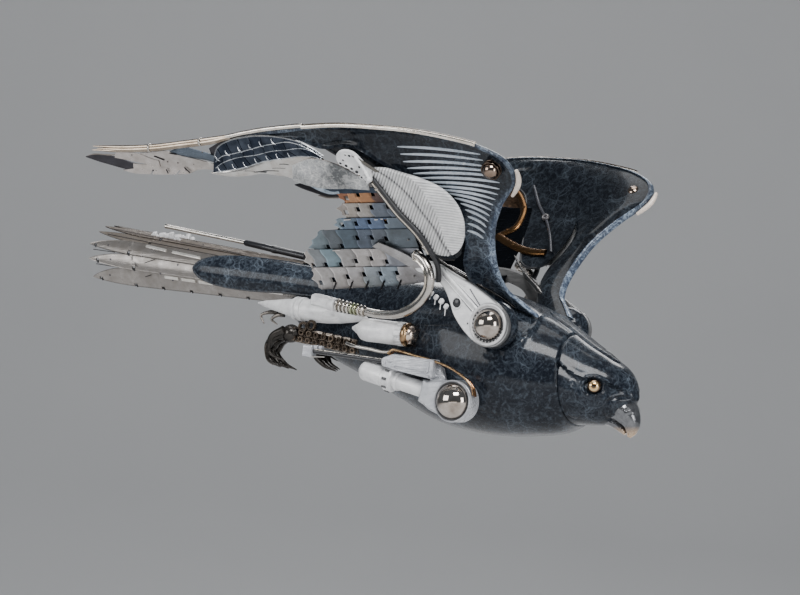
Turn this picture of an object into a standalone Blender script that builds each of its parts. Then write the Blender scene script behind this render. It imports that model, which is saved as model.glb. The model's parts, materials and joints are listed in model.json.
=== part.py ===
"""A life-size mechanical falcon in flight, wings raised, legs swept back.

Frame: +X towards the beak, +Y to the bird's left, +Z up. The origin is the centre of the
flat top of the hanging pad on the back. The bird is symmetric about Y = 0: every wing and
leg piece is modelled on the right side (-Y) and copied to the left.

Pose points are written in units of a bird of its own length, in thousandths of DESIGN_LENGTH,
and unit() turns them into metres. Walls, balls, rods and gaps are real sizes of their own.
"""
import math

import bmesh
import bpy
import numpy as np
from mathutils import Matrix, Vector

# Driving dimensions, in metres
BIRD_LENGTH = 0.513
DESIGN_LENGTH = 513.0
FIT_GAP = 0.0003
PAD_RADIUS = 0.008
PAD_DEPTH = 0.009
CROWN_PLATE_HEIGHT = 0.0010
CROWN_PLATE_HALF_WIDTH = 0.0085
EYE_RADIUS = 0.0053
SHELL_THICKNESS = 0.0014
SHELL_EDGE_RADIUS = 0.0024
SHELL_HOLLOW = 0.0050
RIB_RADIUS = 0.0011
RIB_COUNT = 5
RAIL_RADIUS = 0.0017
WRIST_BALL_RADIUS = 0.0066
WING_TAB_RADIUS = 0.0020
FEATHER_THICKNESS = 0.0010
FEATHER_STEP = 0.0006
COVERT_BANDS = 3
SPAR_RADIUS = 0.0024
PLATE_THICKNESS = 0.0016
LINK_THICKNESS = 0.0030
LINK_HOLE_RADIUS = 0.0019
PUSH_ROD_RADIUS = 0.0014
PIPE_RADIUS = 0.0033
BELLOWS_RADIUS = 0.0048
BELLOWS_RINGS = 3
FERRULE_LENGTH = 0.025
FERRULE_WIDTH = 0.0092
ARM_THICKNESS = 0.0065
ARM_RING_WIDTH = 0.0046
ARM_END_RADIUS = 0.0125
ARM_HOLE_RADIUS = 0.0016
SHOULDER_BALL_RADIUS = 0.0112
SHOULDER_STUB_RADIUS = 0.0060
KNEE_BALL_RADIUS = 0.0134
KNEE_RING_WIDTH = 0.0024
THIGH_THICKNESS = 0.0150
SHIN_RADIUS = 0.0060
CLAMP_RADIUS = 0.0098
CLAMP_WIDTH = 0.0060
ACTUATOR_WIDTH = 0.0115
ACTUATOR_HEIGHT = 0.0100
ACTUATOR_ROD_RADIUS = 0.0017
TARSUS_RADIUS = 0.0092
NUT_LENGTH = 0.0060
DOME_RADIUS = 0.0090
VENT_RADIUS = 0.0090
TALON_RADIUS = 0.0034
TAIL_TIP_RADIUS = 0.0275
TAIL_ROOT_RADIUS = 0.0195
TAIL_BLADES_PER_SIDE = 6
TAIL_BLADE_WIDTH = 0.0140
TAIL_COVER_STANDOFF = 0.0028
STRUT_RADIUS = 0.0015
SLEEVE_RADIUS = 0.0030
BRACKET_COUNT = 4
BRACKET_SIZE = 0.0038
BRACKET_STRIP = 0.0012
BRACKET_ANGLE = 52.0
TAIL_BLADE_SAG = 0.0012

# The bird's lines, in units: X with Z, or X with half width
BACK_LINE = ((-172, 8), (-150, 14), (-137, 13), (-97, 6), (-49, -1), (0, -4), (44, -13),
             (85, -28.5), (108, -42), (128, -56.5), (145, -68), (158, -79), (164, -86), (167, -93))
BELLY_LINE = ((-172, -8), (-150, -27), (-137, -42), (-112, -62), (-80, -78), (-40, -98),
              (0, -117), (30, -124), (78, -126.5), (103, -124), (117, -118.5), (128, -118.5),
              (140, -118), (148, -114.5), (156, -108.5), (162, -104), (167, -99))
FLANK_LINE = ((-172, 11), (-150, 16), (-137, 18), (-100, 24), (-60, 35), (-20, 46), (0, 51),
              (45, 57), (75, 54), (98, 46), (115, 38), (128, 33), (141, 27), (152, 20),
              (161, 12), (167, 4))
SECTION_POWER = 2.3
BODY_STATIONS = 21
BODY_SIDES = 20
NECK_SEAM_X = 116.0
EYE_POINT = (141, -24, -89)
CROWN_PLATE_ENDS = (90.0, 150.0)
CROWN_PLATE_HEIGHTS = (-86.0, -10.0)
# The bills along their middle lines, in units: X, Z, half height, half width
UPPER_BILL = ((138, -108, 7, 15), (148, -108.5, 8, 14.5), (155, -109.5, 9.5, 12.5), (160, -113, 9, 10),
              (162.5, -118.5, 6.3, 7), (162.8, -123.5, 4, 4.2), (161, -128.5, 1.2, 1.3))
LOWER_BILL = ((138, -114, 4, 9), (146, -117, 3.5, 8), (151, -120.5, 2.6, 5), (155, -124, 1, 2))
BILL_SIDES = 10

# The tail's barrel, in units: X at its root and tip, and the height of its middle line there
TAIL_ENDS = (-150.0, -347.0)
TAIL_HEIGHTS = (-3.0, 27.0)
TAIL_BLADE_ANGLES = (-33.0, 80.0)
# The strut over the tail: X and height over the barrel, in units
SLEEVE_FOOT = (-141.0, 5.7)
SLEEVE_ELBOW = (-203.0, 7.8)
STRUT_TIP = (-290.0, 10.5)

# The right wing's plane, in degrees and units
WING_DIHEDRAL = 54.0
WING_SWEEP = 2.7
WRIST_POINT = (103.0, -111.0, 69.0)
# Outer and inner edges of the wing shell from root to tip: outer along, outer up, inner along, inner up
SHELL_EDGES = ((0, -130, -34, -130), (-10, -118, -42, -112), (-19, -106, -48, -95),
               (-21, -84, -48, -78), (-14, -55, -40, -60), (-1, -32, -38, -43), (17, -11, -45, -26),
               (15, 7, -59, -10), (-2, 20, -77, 2), (-24, 28.5, -91, 13), (-55, 37, -104, 24),
               (-88, 42.5, -117, 28), (-117, 46, -137, 28), (-148, 46.5, -156, 37),
               (-180, 45.5, -182, 39), (-206, 43, -207, 38))
# The shell stations that the rail runs along, and its own way on from there to the wing tip
RAIL_STATIONS = (8.3, 9, 10, 11, 12, 13, 14, 15)
RAIL_TIP = ((-259, 40), (-307, 39), (-347, 42))
WING_TAB_STATIONS = (5.5, 5.85, 6.15, 6.5)
# How far the wing leans in and back below the wrist: up along the wing with lean, in units
LEAN_LINE = ((-131, 9), (-106, 7), (-85, 5), (-55, 3), (-28, 0), (60, 0))
LEAN_DIRECTION = (-0.544, 0.838, 0.052)
# The long blades' tips under the rail, and the covert band's lower and upper edges, in units
PRIMARY_ROOT = (-208.0, 31.0)
PRIMARY_ROOT_STEP = (-2.0, -3.6)
PRIMARY_WIDTH = 10.0
PRIMARY_TIPS = ((-342, 33), (-359, 31), (-335, 25), (-312, 19.5), (-286, 15))
COVERT_LOW = ((-104, -9), (-132, -8), (-160, 1), (-195, 11), (-236, 15))
COVERT_HIGH = ((-128, 20), (-142, 26), (-164, 34), (-190, 38), (-232, 33))
COVERT_OVERLAP = 1.15
# The blades behind the arm, in units: root along and up, tip along and up, width, notches
SECONDARIES = ((-88, -13, -159, -2, 9, 0), (-91, -20, -138, -11, 15, 1), (-90, -32, -142, -25, 17, 0),
               (-92, -45, -148, -40, 17, 1), (-91, -58, -168, -53, 20, 0), (-99, -75, -190, -72, 21, 1),
               (-105, -90, -188, -86, 17, 1))
SPAR_INSET = 2.0
TIE_BAR = (-98, -88, -131, -61, 8)
# The pale plate, the perforated link and the push rods over the wing's underside
PLATE_OUTLINE = ((-101, 8), (-89, 6), (-75, 0), (-59, -10), (-45, -26), (-39, -42), (-40, -57),
                 (-46, -68), (-56, -73), (-66, -72), (-71, -66), (-75, -53), (-82, -35), (-91, -17),
                 (-98, -4))
LINK_OUTLINE = ((-127, 18), (-122, 22), (-113, 23), (-106, 19), (-101, 12), (-97, -1), (-101, -8),
                (-108, -8), (-117, 2), (-125, 11))
LINK_HOLES = ((-113, 17), (-120, 11.5), (-108, 5))
# Along and up in units, with the height in metres over the link's own height
PUSH_ROD_LINE = ((-104, -4, 0), (-93, -32, 0), (-78, -60, 0.002), (-60, -77, 0.001), (-54, -92, 0.003))
PUSH_ROD_PITCH = 2.2
FEATHER_PLATE_OUT = 0.0062
LINK_STANDOFF = 0.0022
LINK_OUT = FEATHER_PLATE_OUT + PLATE_THICKNESS + LINK_STANDOFF
PUSH_ROD_OUT = LINK_OUT + LINK_THICKNESS / 2 + PUSH_ROD_RADIUS + FIT_GAP

# The shoulder, the bent pipe and the leg on the right side, in units
SHOULDER_POINT = (73, -62, -42.5)
ELBOW_POINT = (20, -62, -1)
PIPE_LINE = ((13, -77, 12.5), (20, -78, 10), (26, -78.5, 4), (29, -78, -5), (27, -76, -14),
             (20, -73, -22), (10, -70, -28), (-4.5, -66, -32), (-24, -62, -32.5), (-43, -59, -29.5))
FERRULE_POINT = (-72, -56, -23.5)
FERRULE_END = (-99, -54, -17.5)
KNEE_POINT = (42, -60, -100)
SHIN_END = (-48, -60, -73.5)
SHIN_SEAT = 24.0
THIGH_END = 31.0
THIGH_SHOULDER = 20.0
CLAMP_PLACE = 60.0
ACTUATOR_PLACE = 47.0
ACTUATOR_LENGTH = 38.0
ACTUATOR_END = (-96, -62, -59)
TARSUS_START = (-50.5, -55.5, -42.5)
TARSUS_END = (-7.5, -55.5, -48)
VENT_TIP = (-165, -33, -18)
VENT_END = (-55, -35, -34)
PALM_POINT = (-130, -36, -44)
CLAW_LINK_POINT = (-97, -38, -50)
CLAW_LINK_RUN = (66, -2, -13)
CLAW_LINK_SIZE = (66, 6, 11)
CLAW_SLOTS = ((-115, -38, -46.6), (-98, -38, -50), (-81, -38, -53.4))
CLAW_SLOT_RADIUS = 2.6
TALON_COUNT = 3
TALON_SPREAD = 7.0


def unit(*numbers):
    """Design units to metres."""
    scale = BIRD_LENGTH / DESIGN_LENGTH
    if len(numbers) == 1:
        return float(numbers[0]) * scale
    return Vector([float(n) * scale for n in numbers])


def smooth_line(points, x):
    """A smooth curve through (x, value) points: cubic pieces that share their slopes."""
    xs, ys = np.array(points, float).T
    slopes = np.gradient(ys, xs)
    i = np.clip(np.searchsorted(xs, x) - 1, 0, len(xs) - 2)
    span = xs[i + 1] - xs[i]
    t = np.clip((x - xs[i]) / span, 0, 1)
    rise = ys[i] * (1 + 2 * t) * (1 - t) ** 2 + ys[i + 1] * t * t * (3 - 2 * t)
    return rise + span * (slopes[i] * t * (1 - t) ** 2 - slopes[i + 1] * t * t * (1 - t))


# Scene, materials and basic shapes

def clear_scene():
    for obj in list(bpy.data.objects):
        bpy.data.objects.remove(obj, do_unlink=True)


def make_collection(name):
    collection = bpy.data.collections.new(name)
    bpy.context.scene.collection.children.link(collection)
    return collection


def make_material(name, colour, roughness, metallic):
    mat = bpy.data.materials.new(name)
    mat.use_nodes = True
    shader = mat.node_tree.nodes["Principled BSDF"]
    shader.inputs["Base Color"].default_value = (*colour, 1)
    shader.inputs["Roughness"].default_value = roughness
    shader.inputs["Metallic"].default_value = metallic
    mat.diffuse_color = (*colour, 1)
    return mat


def add_mesh(name, bm, matrix=None):
    """A new object from a bmesh, moved by a matrix, with its faces turned outwards."""
    if matrix is not None:
        bmesh.ops.transform(bm, matrix=matrix, verts=bm.verts)
    bmesh.ops.recalc_face_normals(bm, faces=bm.faces)
    mesh = bpy.data.meshes.new(name)
    bm.to_mesh(mesh)
    bm.free()
    obj = bpy.data.objects.new(name, mesh)
    PARTS.objects.link(obj)
    return obj


def to_mesh(obj):
    """Replace an object by the mesh it evaluates to, in world space, welded and closed."""
    depsgraph = bpy.context.evaluated_depsgraph_get()
    depsgraph.update()
    mesh = bpy.data.meshes.new_from_object(obj.evaluated_get(depsgraph))
    bm = bmesh.new()
    bm.from_mesh(mesh)
    bmesh.ops.remove_doubles(bm, verts=bm.verts, dist=1e-6)
    matrix = obj.matrix_world.copy()
    name = obj.name
    bpy.data.objects.remove(obj, do_unlink=True)
    bpy.data.meshes.remove(mesh)
    return add_mesh(name, bm, matrix)


def axis_frame(origin, along, up=(0, 0, 1)):
    """A frame at origin whose X runs along a direction and whose Z leans to up."""
    x = Vector(along).normalized()
    y = Vector(up).cross(x).normalized()
    z = x.cross(y)
    return Matrix.Translation(origin) @ Matrix((x, y, z)).transposed().to_4x4()


def ball(name, centre, radius, segments=10, rings=6):
    bm = bmesh.new()
    bmesh.ops.create_uvsphere(bm, u_segments=segments, v_segments=rings, radius=radius)
    turn = Matrix.Rotation(math.pi / 2, 4, "X")
    return add_mesh(name, bm, Matrix.Translation(centre) @ turn)


def rod(name, start, end, radius, end_radius=None, segments=10):
    """A cylinder or cone between two points."""
    start = Vector(start)
    end = Vector(end)
    bm = bmesh.new()
    bmesh.ops.create_cone(bm, cap_ends=True, segments=segments, radius1=radius,
                          radius2=radius if end_radius is None else end_radius, depth=(end - start).length)
    turn = (end - start).to_track_quat("Z", "Y").to_matrix().to_4x4()
    return add_mesh(name, bm, Matrix.Translation((start + end) / 2) @ turn)


def bore(centre, along, radius, depth, segments=12):
    """A cutter whose flats clear a ball or shaft of this radius by the fit gap."""
    along = Vector(along).normalized() * depth / 2
    clear = (radius + FIT_GAP) / math.cos(math.pi / segments)
    return rod("bore", Vector(centre) - along, Vector(centre) + along, clear, segments=segments)


def box(name, size, matrix):
    bm = bmesh.new()
    bmesh.ops.create_cube(bm, size=1)
    bmesh.ops.scale(bm, vec=size, verts=bm.verts)
    return add_mesh(name, bm, matrix)


def turned(name, profile, start, along, steps=10):
    """A profile of (radius, height) points spun about the axis that leaves start along a direction."""
    bm = bmesh.new()
    verts = [bm.verts.new((radius, 0, height)) for radius, height in reversed(profile)]
    for first, second in zip(verts, verts[1:]):
        bm.edges.new((first, second))
    mesh = bpy.data.meshes.new(name)
    bm.to_mesh(mesh)
    bm.free()
    obj = bpy.data.objects.new(name, mesh)
    PARTS.objects.link(obj)
    screw = obj.modifiers.new("turn", "SCREW")
    screw.steps = steps
    screw.render_steps = steps
    screw.use_merge_vertices = True
    screw.merge_threshold = 0.00001
    turn = Vector(along).to_track_quat("Z", "Y").to_matrix().to_4x4()
    obj.matrix_world = Matrix.Translation(start) @ turn
    return to_mesh(obj)


def tube(name, points, radius, tapers=None, sides=8):
    """A round bar along points, with a share of the radius at each point."""
    curve = bpy.data.curves.new(name, "CURVE")
    curve.dimensions = "3D"
    curve.bevel_depth = radius
    curve.bevel_resolution = sides // 2 - 2
    curve.use_fill_caps = True
    spline = curve.splines.new("POLY")
    spline.points.add(len(points) - 1)
    for index, point in enumerate(points):
        spline.points[index].co = (*point, 1)
        spline.points[index].radius = 1 if tapers is None else tapers[index]
    obj = bpy.data.objects.new(name, curve)
    PARTS.objects.link(obj)
    return to_mesh(obj)


def plate(name, outline, thickness, matrix):
    """A flat outline with a thickness, half on each side of the frame's XY plane."""
    curve = bpy.data.curves.new(name, "CURVE")
    curve.dimensions = "2D"
    curve.fill_mode = "BOTH"
    curve.extrude = thickness / 2
    spline = curve.splines.new("POLY")
    spline.points.add(len(outline) - 1)
    for point, (x, y) in zip(spline.points, outline):
        point.co = (x, y, 0, 1)
    spline.use_cyclic_u = True
    obj = bpy.data.objects.new(name, curve)
    PARTS.objects.link(obj)
    obj.matrix_world = matrix
    return to_mesh(obj)


def boolean(obj, others, operation):
    """Join pieces to an object, or cut them from it, and use them up."""
    group = bpy.data.collections.new("operands")
    CUTTERS.children.link(group)
    for other in others:
        PARTS.objects.unlink(other)
        group.objects.link(other)
        other.hide_render = True
        other.display_type = "WIRE"
    modifier = obj.modifiers.new("boolean", "BOOLEAN")
    modifier.operation = operation
    modifier.solver = "EXACT"
    modifier.operand_type = "COLLECTION"
    modifier.collection = group
    result = to_mesh(obj)
    for other in others:
        bpy.data.objects.remove(other, do_unlink=True)
    bpy.data.collections.remove(group)
    return result


def join(name, pieces):
    result = boolean(pieces[0], pieces[1:], "UNION") if len(pieces) > 1 else pieces[0]
    result.name = name
    return result


def cut(obj, cutters):
    name = obj.name
    result = boolean(obj, cutters, "DIFFERENCE")
    result.name = name
    return result


def common(name, obj, other):
    """The space that two shapes share."""
    result = boolean(obj, [other], "INTERSECT")
    result.name = name
    return result


def finish(obj, material, angle=35):
    """Give a piece its material, smooth its round faces and keep its edges."""
    obj.data.materials.clear()
    obj.data.materials.append(material)
    obj.data.shade_smooth()
    obj.data.set_sharp_from_angle(angle=math.radians(angle))
    return obj


def mirror_piece(obj):
    """The left twin of a right-side piece."""
    bm = bmesh.new()
    bm.from_mesh(obj.data)
    twin = add_mesh(obj.name.replace("_right", "_left"), bm, Matrix.Scale(-1, 4, (0, 1, 0)))
    return finish(twin, obj.data.materials[0])


# Body and head

def body_rings(extra):
    """Rings of the whole bird's body, head included, grown outwards by extra metres."""
    turn = (1 - np.cos(np.linspace(0, math.pi, BODY_STATIONS))) / 2
    first, last = BACK_LINE[0][0], BACK_LINE[-1][0]
    rings = []
    for x in first + (last - first) * turn:
        top = unit(float(smooth_line(BACK_LINE, x))) + extra
        bottom = unit(float(smooth_line(BELLY_LINE, x))) - extra
        half = unit(float(smooth_line(FLANK_LINE, x))) + extra
        centre = (top + bottom) / 2
        angles = np.linspace(0, 2 * math.pi, BODY_SIDES, endpoint=False)
        power = 2 / SECTION_POWER
        across = half * np.sign(np.cos(angles)) * np.abs(np.cos(angles)) ** power
        up = (top - bottom) / 2 * np.sign(np.sin(angles)) * np.abs(np.sin(angles)) ** power
        rings.append([(unit(x), y, centre + z) for y, z in zip(across, up)])
    rings[0] = [(x - extra, y, z) for x, y, z in rings[0]]
    rings[-1] = [(x + extra, y, z) for x, y, z in rings[-1]]
    return rings


def loft(name, rings):
    """A closed skin over rings of equal count."""
    bm = bmesh.new()
    rows = [[bm.verts.new(point) for point in ring] for ring in rings]
    count = len(rings[0])
    for low, high in zip(rows, rows[1:]):
        for i in range(count):
            j = (i + 1) % count
            bm.faces.new((low[i], low[j], high[j], high[i]))
    bm.faces.new(list(reversed(rows[0])))
    bm.faces.new(rows[-1])
    return add_mesh(name, bm)


def body_form(name, extra=0.0):
    return loft(name, body_rings(extra))


def keep_side(obj, x, sign):
    """Cut an object flat at a plane X = x and keep the part on one side."""
    bm = bmesh.new()
    bm.from_mesh(obj.data)
    plane = bmesh.ops.bisect_plane(bm, geom=bm.verts[:] + bm.edges[:] + bm.faces[:], plane_co=(x, 0, 0),
                                   plane_no=(sign, 0, 0), clear_inner=True)
    edges = [e for e in plane["geom_cut"] if isinstance(e, bmesh.types.BMEdge)]
    bmesh.ops.edgeloop_fill(bm, edges=edges)
    bmesh.ops.recalc_face_normals(bm, faces=bm.faces)
    bm.to_mesh(obj.data)
    bm.free()
    return obj


def seat_on_body(obj):
    """Trim a piece so that it sits on the body with the fit gap."""
    return cut(obj, [body_form("seat", FIT_GAP)])


def build_body():
    seam = unit(NECK_SEAM_X)
    shell = keep_side(body_form("body_shell"), seam - FIT_GAP / 2, -1)
    pad = rod("pad", (0, 0, -PAD_DEPTH), (0, 0, 0), PAD_RADIUS, segments=20)
    shell = join("body_shell", [shell, pad])
    finish(shell, ENAMEL)
    head = keep_side(body_form("head_shell"), seam + FIT_GAP / 2, 1)
    x, y, z = EYE_POINT
    sockets = [ball("socket", unit(x, side * y, z), EYE_RADIUS + FIT_GAP) for side in (1, -1)]
    finish(cut(head, sockets + [bill("seat", UPPER_BILL, FIT_GAP)]), ENAMEL)
    for side, name in ((1, "eye_right"), (-1, "eye_left")):
        finish(ball(name, unit(x, side * y, z), EYE_RADIUS), EYE_GOLD)


def build_crown_plate():
    """A raised strip from the nape to the brow, of even height over the head."""
    start, end = [unit(x) for x in CROWN_PLATE_ENDS]
    low, high = [unit(z) for z in CROWN_PLATE_HEIGHTS]
    outline = []
    for t in np.linspace(0, 1, 7):
        bulge = math.sin(math.pi * t ** 0.8) ** 0.4 if 0 < t < 1 else 0
        outline.append((start + (end - start) * t, -CROWN_PLATE_HALF_WIDTH * bulge))
    outline += [(x, -y) for x, y in reversed(outline[1:-1])]
    prism = plate("prism", outline, high - low, Matrix.Translation((0, 0, (high + low) / 2)))
    strip = common("crown_plate", prism, body_form("outer", FIT_GAP + CROWN_PLATE_HEIGHT))
    finish(cut(strip, [body_form("inner", FIT_GAP)]), ENAMEL)


def bill(name, stations, extra=0.0):
    """A bill lofted over round sections square to its middle line, grown outwards by extra metres."""
    x, z, height, width = np.array(stations, float).T
    run = np.stack([np.gradient(x), np.gradient(z)])
    run /= np.linalg.norm(run, axis=0)
    reach = np.zeros(len(x))
    reach[0], reach[-1] = -extra, extra
    angles = np.linspace(0, 2 * math.pi, BILL_SIDES, endpoint=False)
    rings = []
    for k in range(len(stations)):
        along = Vector((run[0, k], 0, run[1, k]))
        over = Vector((-run[1, k], 0, run[0, k]))
        centre = unit(x[k], 0, z[k]) + along * float(reach[k])
        high = unit(height[k]) + extra
        wide = unit(width[k]) + extra
        rings.append([centre + over * (high * math.sin(a)) + Vector((0, wide * math.cos(a), 0))
                      for a in angles])
    return loft(name, rings)


def build_beak():
    """A hooked upper bill and the small lower bill that it closes over."""
    finish(bill("beak_upper", UPPER_BILL), BILL)
    lower = bill("beak_lower", LOWER_BILL)
    lower = cut(lower, [body_form("face", FIT_GAP), bill("clear", UPPER_BILL, FIT_GAP)])
    finish(lower, BILL)


# Tail

def tail_point(along, angle, lift=0.0):
    """A point of the tail's barrel: along runs 0 at the root to 1 at the tips, angle from -Y upwards."""
    radius = TAIL_ROOT_RADIUS + (TAIL_TIP_RADIUS - TAIL_ROOT_RADIUS) * along + lift
    x = unit(TAIL_ENDS[0] + (TAIL_ENDS[1] - TAIL_ENDS[0]) * along)
    centre = unit(TAIL_HEIGHTS[0] + (TAIL_HEIGHTS[1] - TAIL_HEIGHTS[0]) * along)
    return Vector((x, -radius * math.cos(angle), centre + radius * math.sin(angle)))


def tail_frame(angle, lift):
    """A frame whose X runs along a tail blade to its tip and whose Z points out of the barrel."""
    start = tail_point(0, angle, lift)
    along = tail_point(1, angle, lift) - start
    outwards = Vector((0, -math.cos(angle), math.sin(angle)))
    return axis_frame(start, along, outwards), along.length


def blade_outline(length, width, root_share=0.75, notches=0, tip_share=0.2):
    """A pointed feather along +X with small square notches in its lower edge."""
    half = width / 2
    shoulder = length * (1 - tip_share)
    lower = [(0, -half * root_share)]
    notch = width * 0.13
    for k in range(notches):
        x = shoulder * (k + 1) / (notches + 1)
        y = -half * (root_share + (1 - root_share) * x / shoulder)
        lower += [(x - notch, y), (x, y + notch * 2), (x + notch, y)]
    lower += [(shoulder, -half), (length * (1 - tip_share * 0.35), -half * 0.62)]
    upper = [(length * (1 - tip_share * 0.3), half * 0.35), (shoulder, half), (0, half * root_share)]
    return lower + [(length, -half * 0.05)] + upper


def build_tail():
    angles = np.radians(np.linspace(*TAIL_BLADE_ANGLES, TAIL_BLADES_PER_SIDE))
    blades = []
    for k, angle in enumerate(angles):
        frame, length = tail_frame(angle, FEATHER_STEP * (k % 2))
        shorter = 1 - 0.006 * k
        outline = blade_outline(length * shorter, TAIL_BLADE_WIDTH, 0.7, 2 if k == 0 else 0)
        blades.append(plate("blade", outline, FEATHER_THICKNESS, frame))
    fan = join("tail_feathers_right", blades)
    middle = box("middle", (1, 1, 1), Matrix.Translation((0, 0.5 - FIT_GAP / 2, 0)))
    fan = cut(fan, [middle, body_form("root", FIT_GAP)])
    mirror_piece(finish(fan, BLADE_STEEL))
    build_tail_cover()
    build_tail_strut()
    build_brackets()


def build_tail_cover():
    """The oval plate that laps the near blades' roots."""
    frame, length = tail_frame(math.radians(2), TAIL_COVER_STANDOFF)
    cover_length = unit(118)
    oval = [(cover_length * (0.5 - 0.5 * math.cos(a)) - unit(30),
             unit(17.5) * math.copysign(abs(math.sin(a)) ** 0.75, math.sin(a)))
            for a in np.linspace(0, 2 * math.pi, 16, endpoint=False)]
    cover = plate("tail_cover_right", oval, unit(60), frame @ Matrix.Translation((0, 0, -unit(10))))
    rings = []
    for along in np.linspace(-0.4, 0.75, 3):
        ring = []
        for lift in (TAIL_COVER_STANDOFF, TAIL_COVER_STANDOFF + PLATE_THICKNESS):
            arc = np.radians(np.linspace(-66, 76, 8))
            arc = arc if lift == TAIL_COVER_STANDOFF else arc[::-1]
            ring += [tail_point(along, a, lift) for a in arc]
        rings.append(ring)
    cover = common("tail_cover_right", loft("arc", rings), cover)
    finish(seat_on_body(cover), ENAMEL)
    mirror_piece(bpy.data.objects["tail_cover_right"])


def over_tail(x, height):
    """A point in the middle plane over the tail's barrel."""
    along = (x - TAIL_ENDS[0]) / (TAIL_ENDS[1] - TAIL_ENDS[0])
    return tail_point(along, math.pi / 2, unit(height))


def build_tail_strut():
    """A slim strut over the tail, in a sleeve that rises from its root."""
    foot = over_tail(*SLEEVE_FOOT)
    elbow = over_tail(*SLEEVE_ELBOW)
    tip = over_tail(*STRUT_TIP)
    sleeve = rod("tail_sleeve", foot, elbow, SLEEVE_RADIUS)
    grip = elbow + (foot - elbow) * 0.15
    hole = bore(elbow, elbow - foot, STRUT_RADIUS, 2 * (grip - elbow).length + FIT_GAP, 8)
    finish(cut(sleeve, [hole]), DARK_ROD)
    finish(rod("tail_strut", grip, tip, STRUT_RADIUS, segments=8), BRIGHT_STEEL)


def build_brackets():
    """A row of small upright lugs on a strip along one upper blade."""
    angle = math.radians(BRACKET_ANGLE)
    lift = FEATHER_THICKNESS / 2 + FEATHER_STEP + FIT_GAP + BRACKET_STRIP / 2 + TAIL_BLADE_SAG
    frame, length = tail_frame(angle, lift)
    start = unit(105)
    pitch = unit(11)
    strip = box("strip", (pitch * BRACKET_COUNT, BRACKET_SIZE, BRACKET_STRIP),
                frame @ Matrix.Translation((start + pitch * (BRACKET_COUNT - 1) / 2, 0, 0)))
    lugs = [box("lug", (BRACKET_SIZE, BRACKET_SIZE * 0.6, BRACKET_SIZE * (1 + 0.3 * (k % 2))),
                frame @ Matrix.Translation((start + pitch * k, 0, BRACKET_SIZE / 2)))
            for k in range(BRACKET_COUNT)]
    mirror_piece(finish(join("tail_brackets_right", [strip] + lugs), WHITE_CAST))


# Wings

def wing_point(along, up, out=0.0):
    """A point of the right wing's plane: along and up in units, out in metres towards the underside."""
    along_axis, up_axis, out_axis = wing_axes()
    lean = unit(smooth_line(LEAN_LINE, up)) * Vector(LEAN_DIRECTION)
    return unit(*WRIST_POINT) + along_axis * unit(along) + up_axis * unit(up) + lean + out_axis * float(out)


def wing_axes():
    rise = math.radians(WING_DIHEDRAL)
    sweep = math.radians(WING_SWEEP)
    along = Vector((math.cos(sweep), math.sin(sweep), 0))
    up = Vector((0, -math.cos(rise), math.sin(rise)))
    up = (up - up.dot(along) * along).normalized()
    return along, up, along.cross(up)


def wing_frame(out):
    """The wing plane's frame at a height towards the underside."""
    along, up, outwards = wing_axes()
    return Matrix.Translation(wing_point(0, 0, out)) @ Matrix((along, up, outwards)).transposed().to_4x4()


def wing_plate(name, outline, out, thickness):
    return plate(name, [(unit(x), unit(y)) for x, y in outline], thickness, wing_frame(out))


def shell_place(station, across):
    """Along and up of a spot on the shell: station counts from the root, across 0 is the outer edge."""
    edges = np.array(SHELL_EDGES, float)
    i = min(int(station), len(edges) - 2)
    row = edges[i] + (edges[i + 1] - edges[i]) * (station - i)
    return row[:2] + (row[2:] - row[:2]) * across


def shell_width(station):
    return unit(float(np.linalg.norm(shell_place(station, 1) - shell_place(station, 0))))


def shell_hollow(station, across):
    """How far the shell bellies towards the wing's back, none at both edges."""
    depth = min(SHELL_HOLLOW, 0.16 * shell_width(station))
    return -depth * math.sin(math.pi * across) ** 0.7


def shell_rings():
    rings = []
    for station in range(len(SHELL_EDGES)):
        width = shell_width(station)
        edge = min(SHELL_EDGE_RADIUS, 0.3 * width)
        half = SHELL_THICKNESS / 2
        section = [(0, 0), (edge, edge * 0.85)]
        section += [(share * width, shell_hollow(station, share) + half) for share in (0.35, 0.7)]
        section += [(width, half), (width, -half)]
        section += [(share * width, shell_hollow(station, share) - half) for share in (0.7, 0.35)]
        section += [(edge, -edge)]
        ring = []
        for distance, out in section:
            along, up = shell_place(station, distance / width)
            ring.append(wing_point(along, up, out))
        rings.append(ring)
    return rings


def build_wing_shell():
    shell = loft("wing_shell_right", shell_rings())
    ribs = []
    for k in range(RIB_COUNT):
        inner = 4.7 + 1.25 * k
        outer = inner - 1.1 - 0.42 * k
        path = []
        for t in np.linspace(0, 1, 3):
            station = inner + (outer - inner) * t
            across = 0.9 - 0.68 * t
            along, up = shell_place(station, across)
            path.append(wing_point(along, up, shell_hollow(station, across) + SHELL_THICKNESS / 2))
        ribs.append(tube("rib", path, RIB_RADIUS, (0.6, 1, 0.5), sides=4))
    shell = join("wing_shell_right", [shell] + ribs)
    hole = bore(wing_point(0, 0), wing_axes()[2], WRIST_BALL_RADIUS, 4 * WRIST_BALL_RADIUS, 12)
    shell = seat_on_body(cut(shell, [hole]))
    finish(shell, ENAMEL)
    mirror_piece(shell)
    wrist = finish(ball("wrist_ball_right", wing_point(0, 0), WRIST_BALL_RADIUS), POLISHED)
    mirror_piece(wrist)


def beside_shell(station, radius, spare=1.08):
    """The centre of a bar of this radius that runs just outside the shell's outer edge."""
    near = np.array(shell_place(max(station - 0.05, 0), 0))
    far = np.array(shell_place(min(station + 0.05, len(SHELL_EDGES) - 1), 0))
    run = (far - near) / np.linalg.norm(far - near)
    outwards = np.array((run[1], -run[0]))
    inwards = shell_place(station, 1) - shell_place(station, 0)
    outwards *= -np.sign(outwards @ inwards)
    clear = (radius + FIT_GAP) / unit(1) * spare
    along, up = shell_place(station, 0) + outwards * clear
    return wing_point(along, up)


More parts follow.
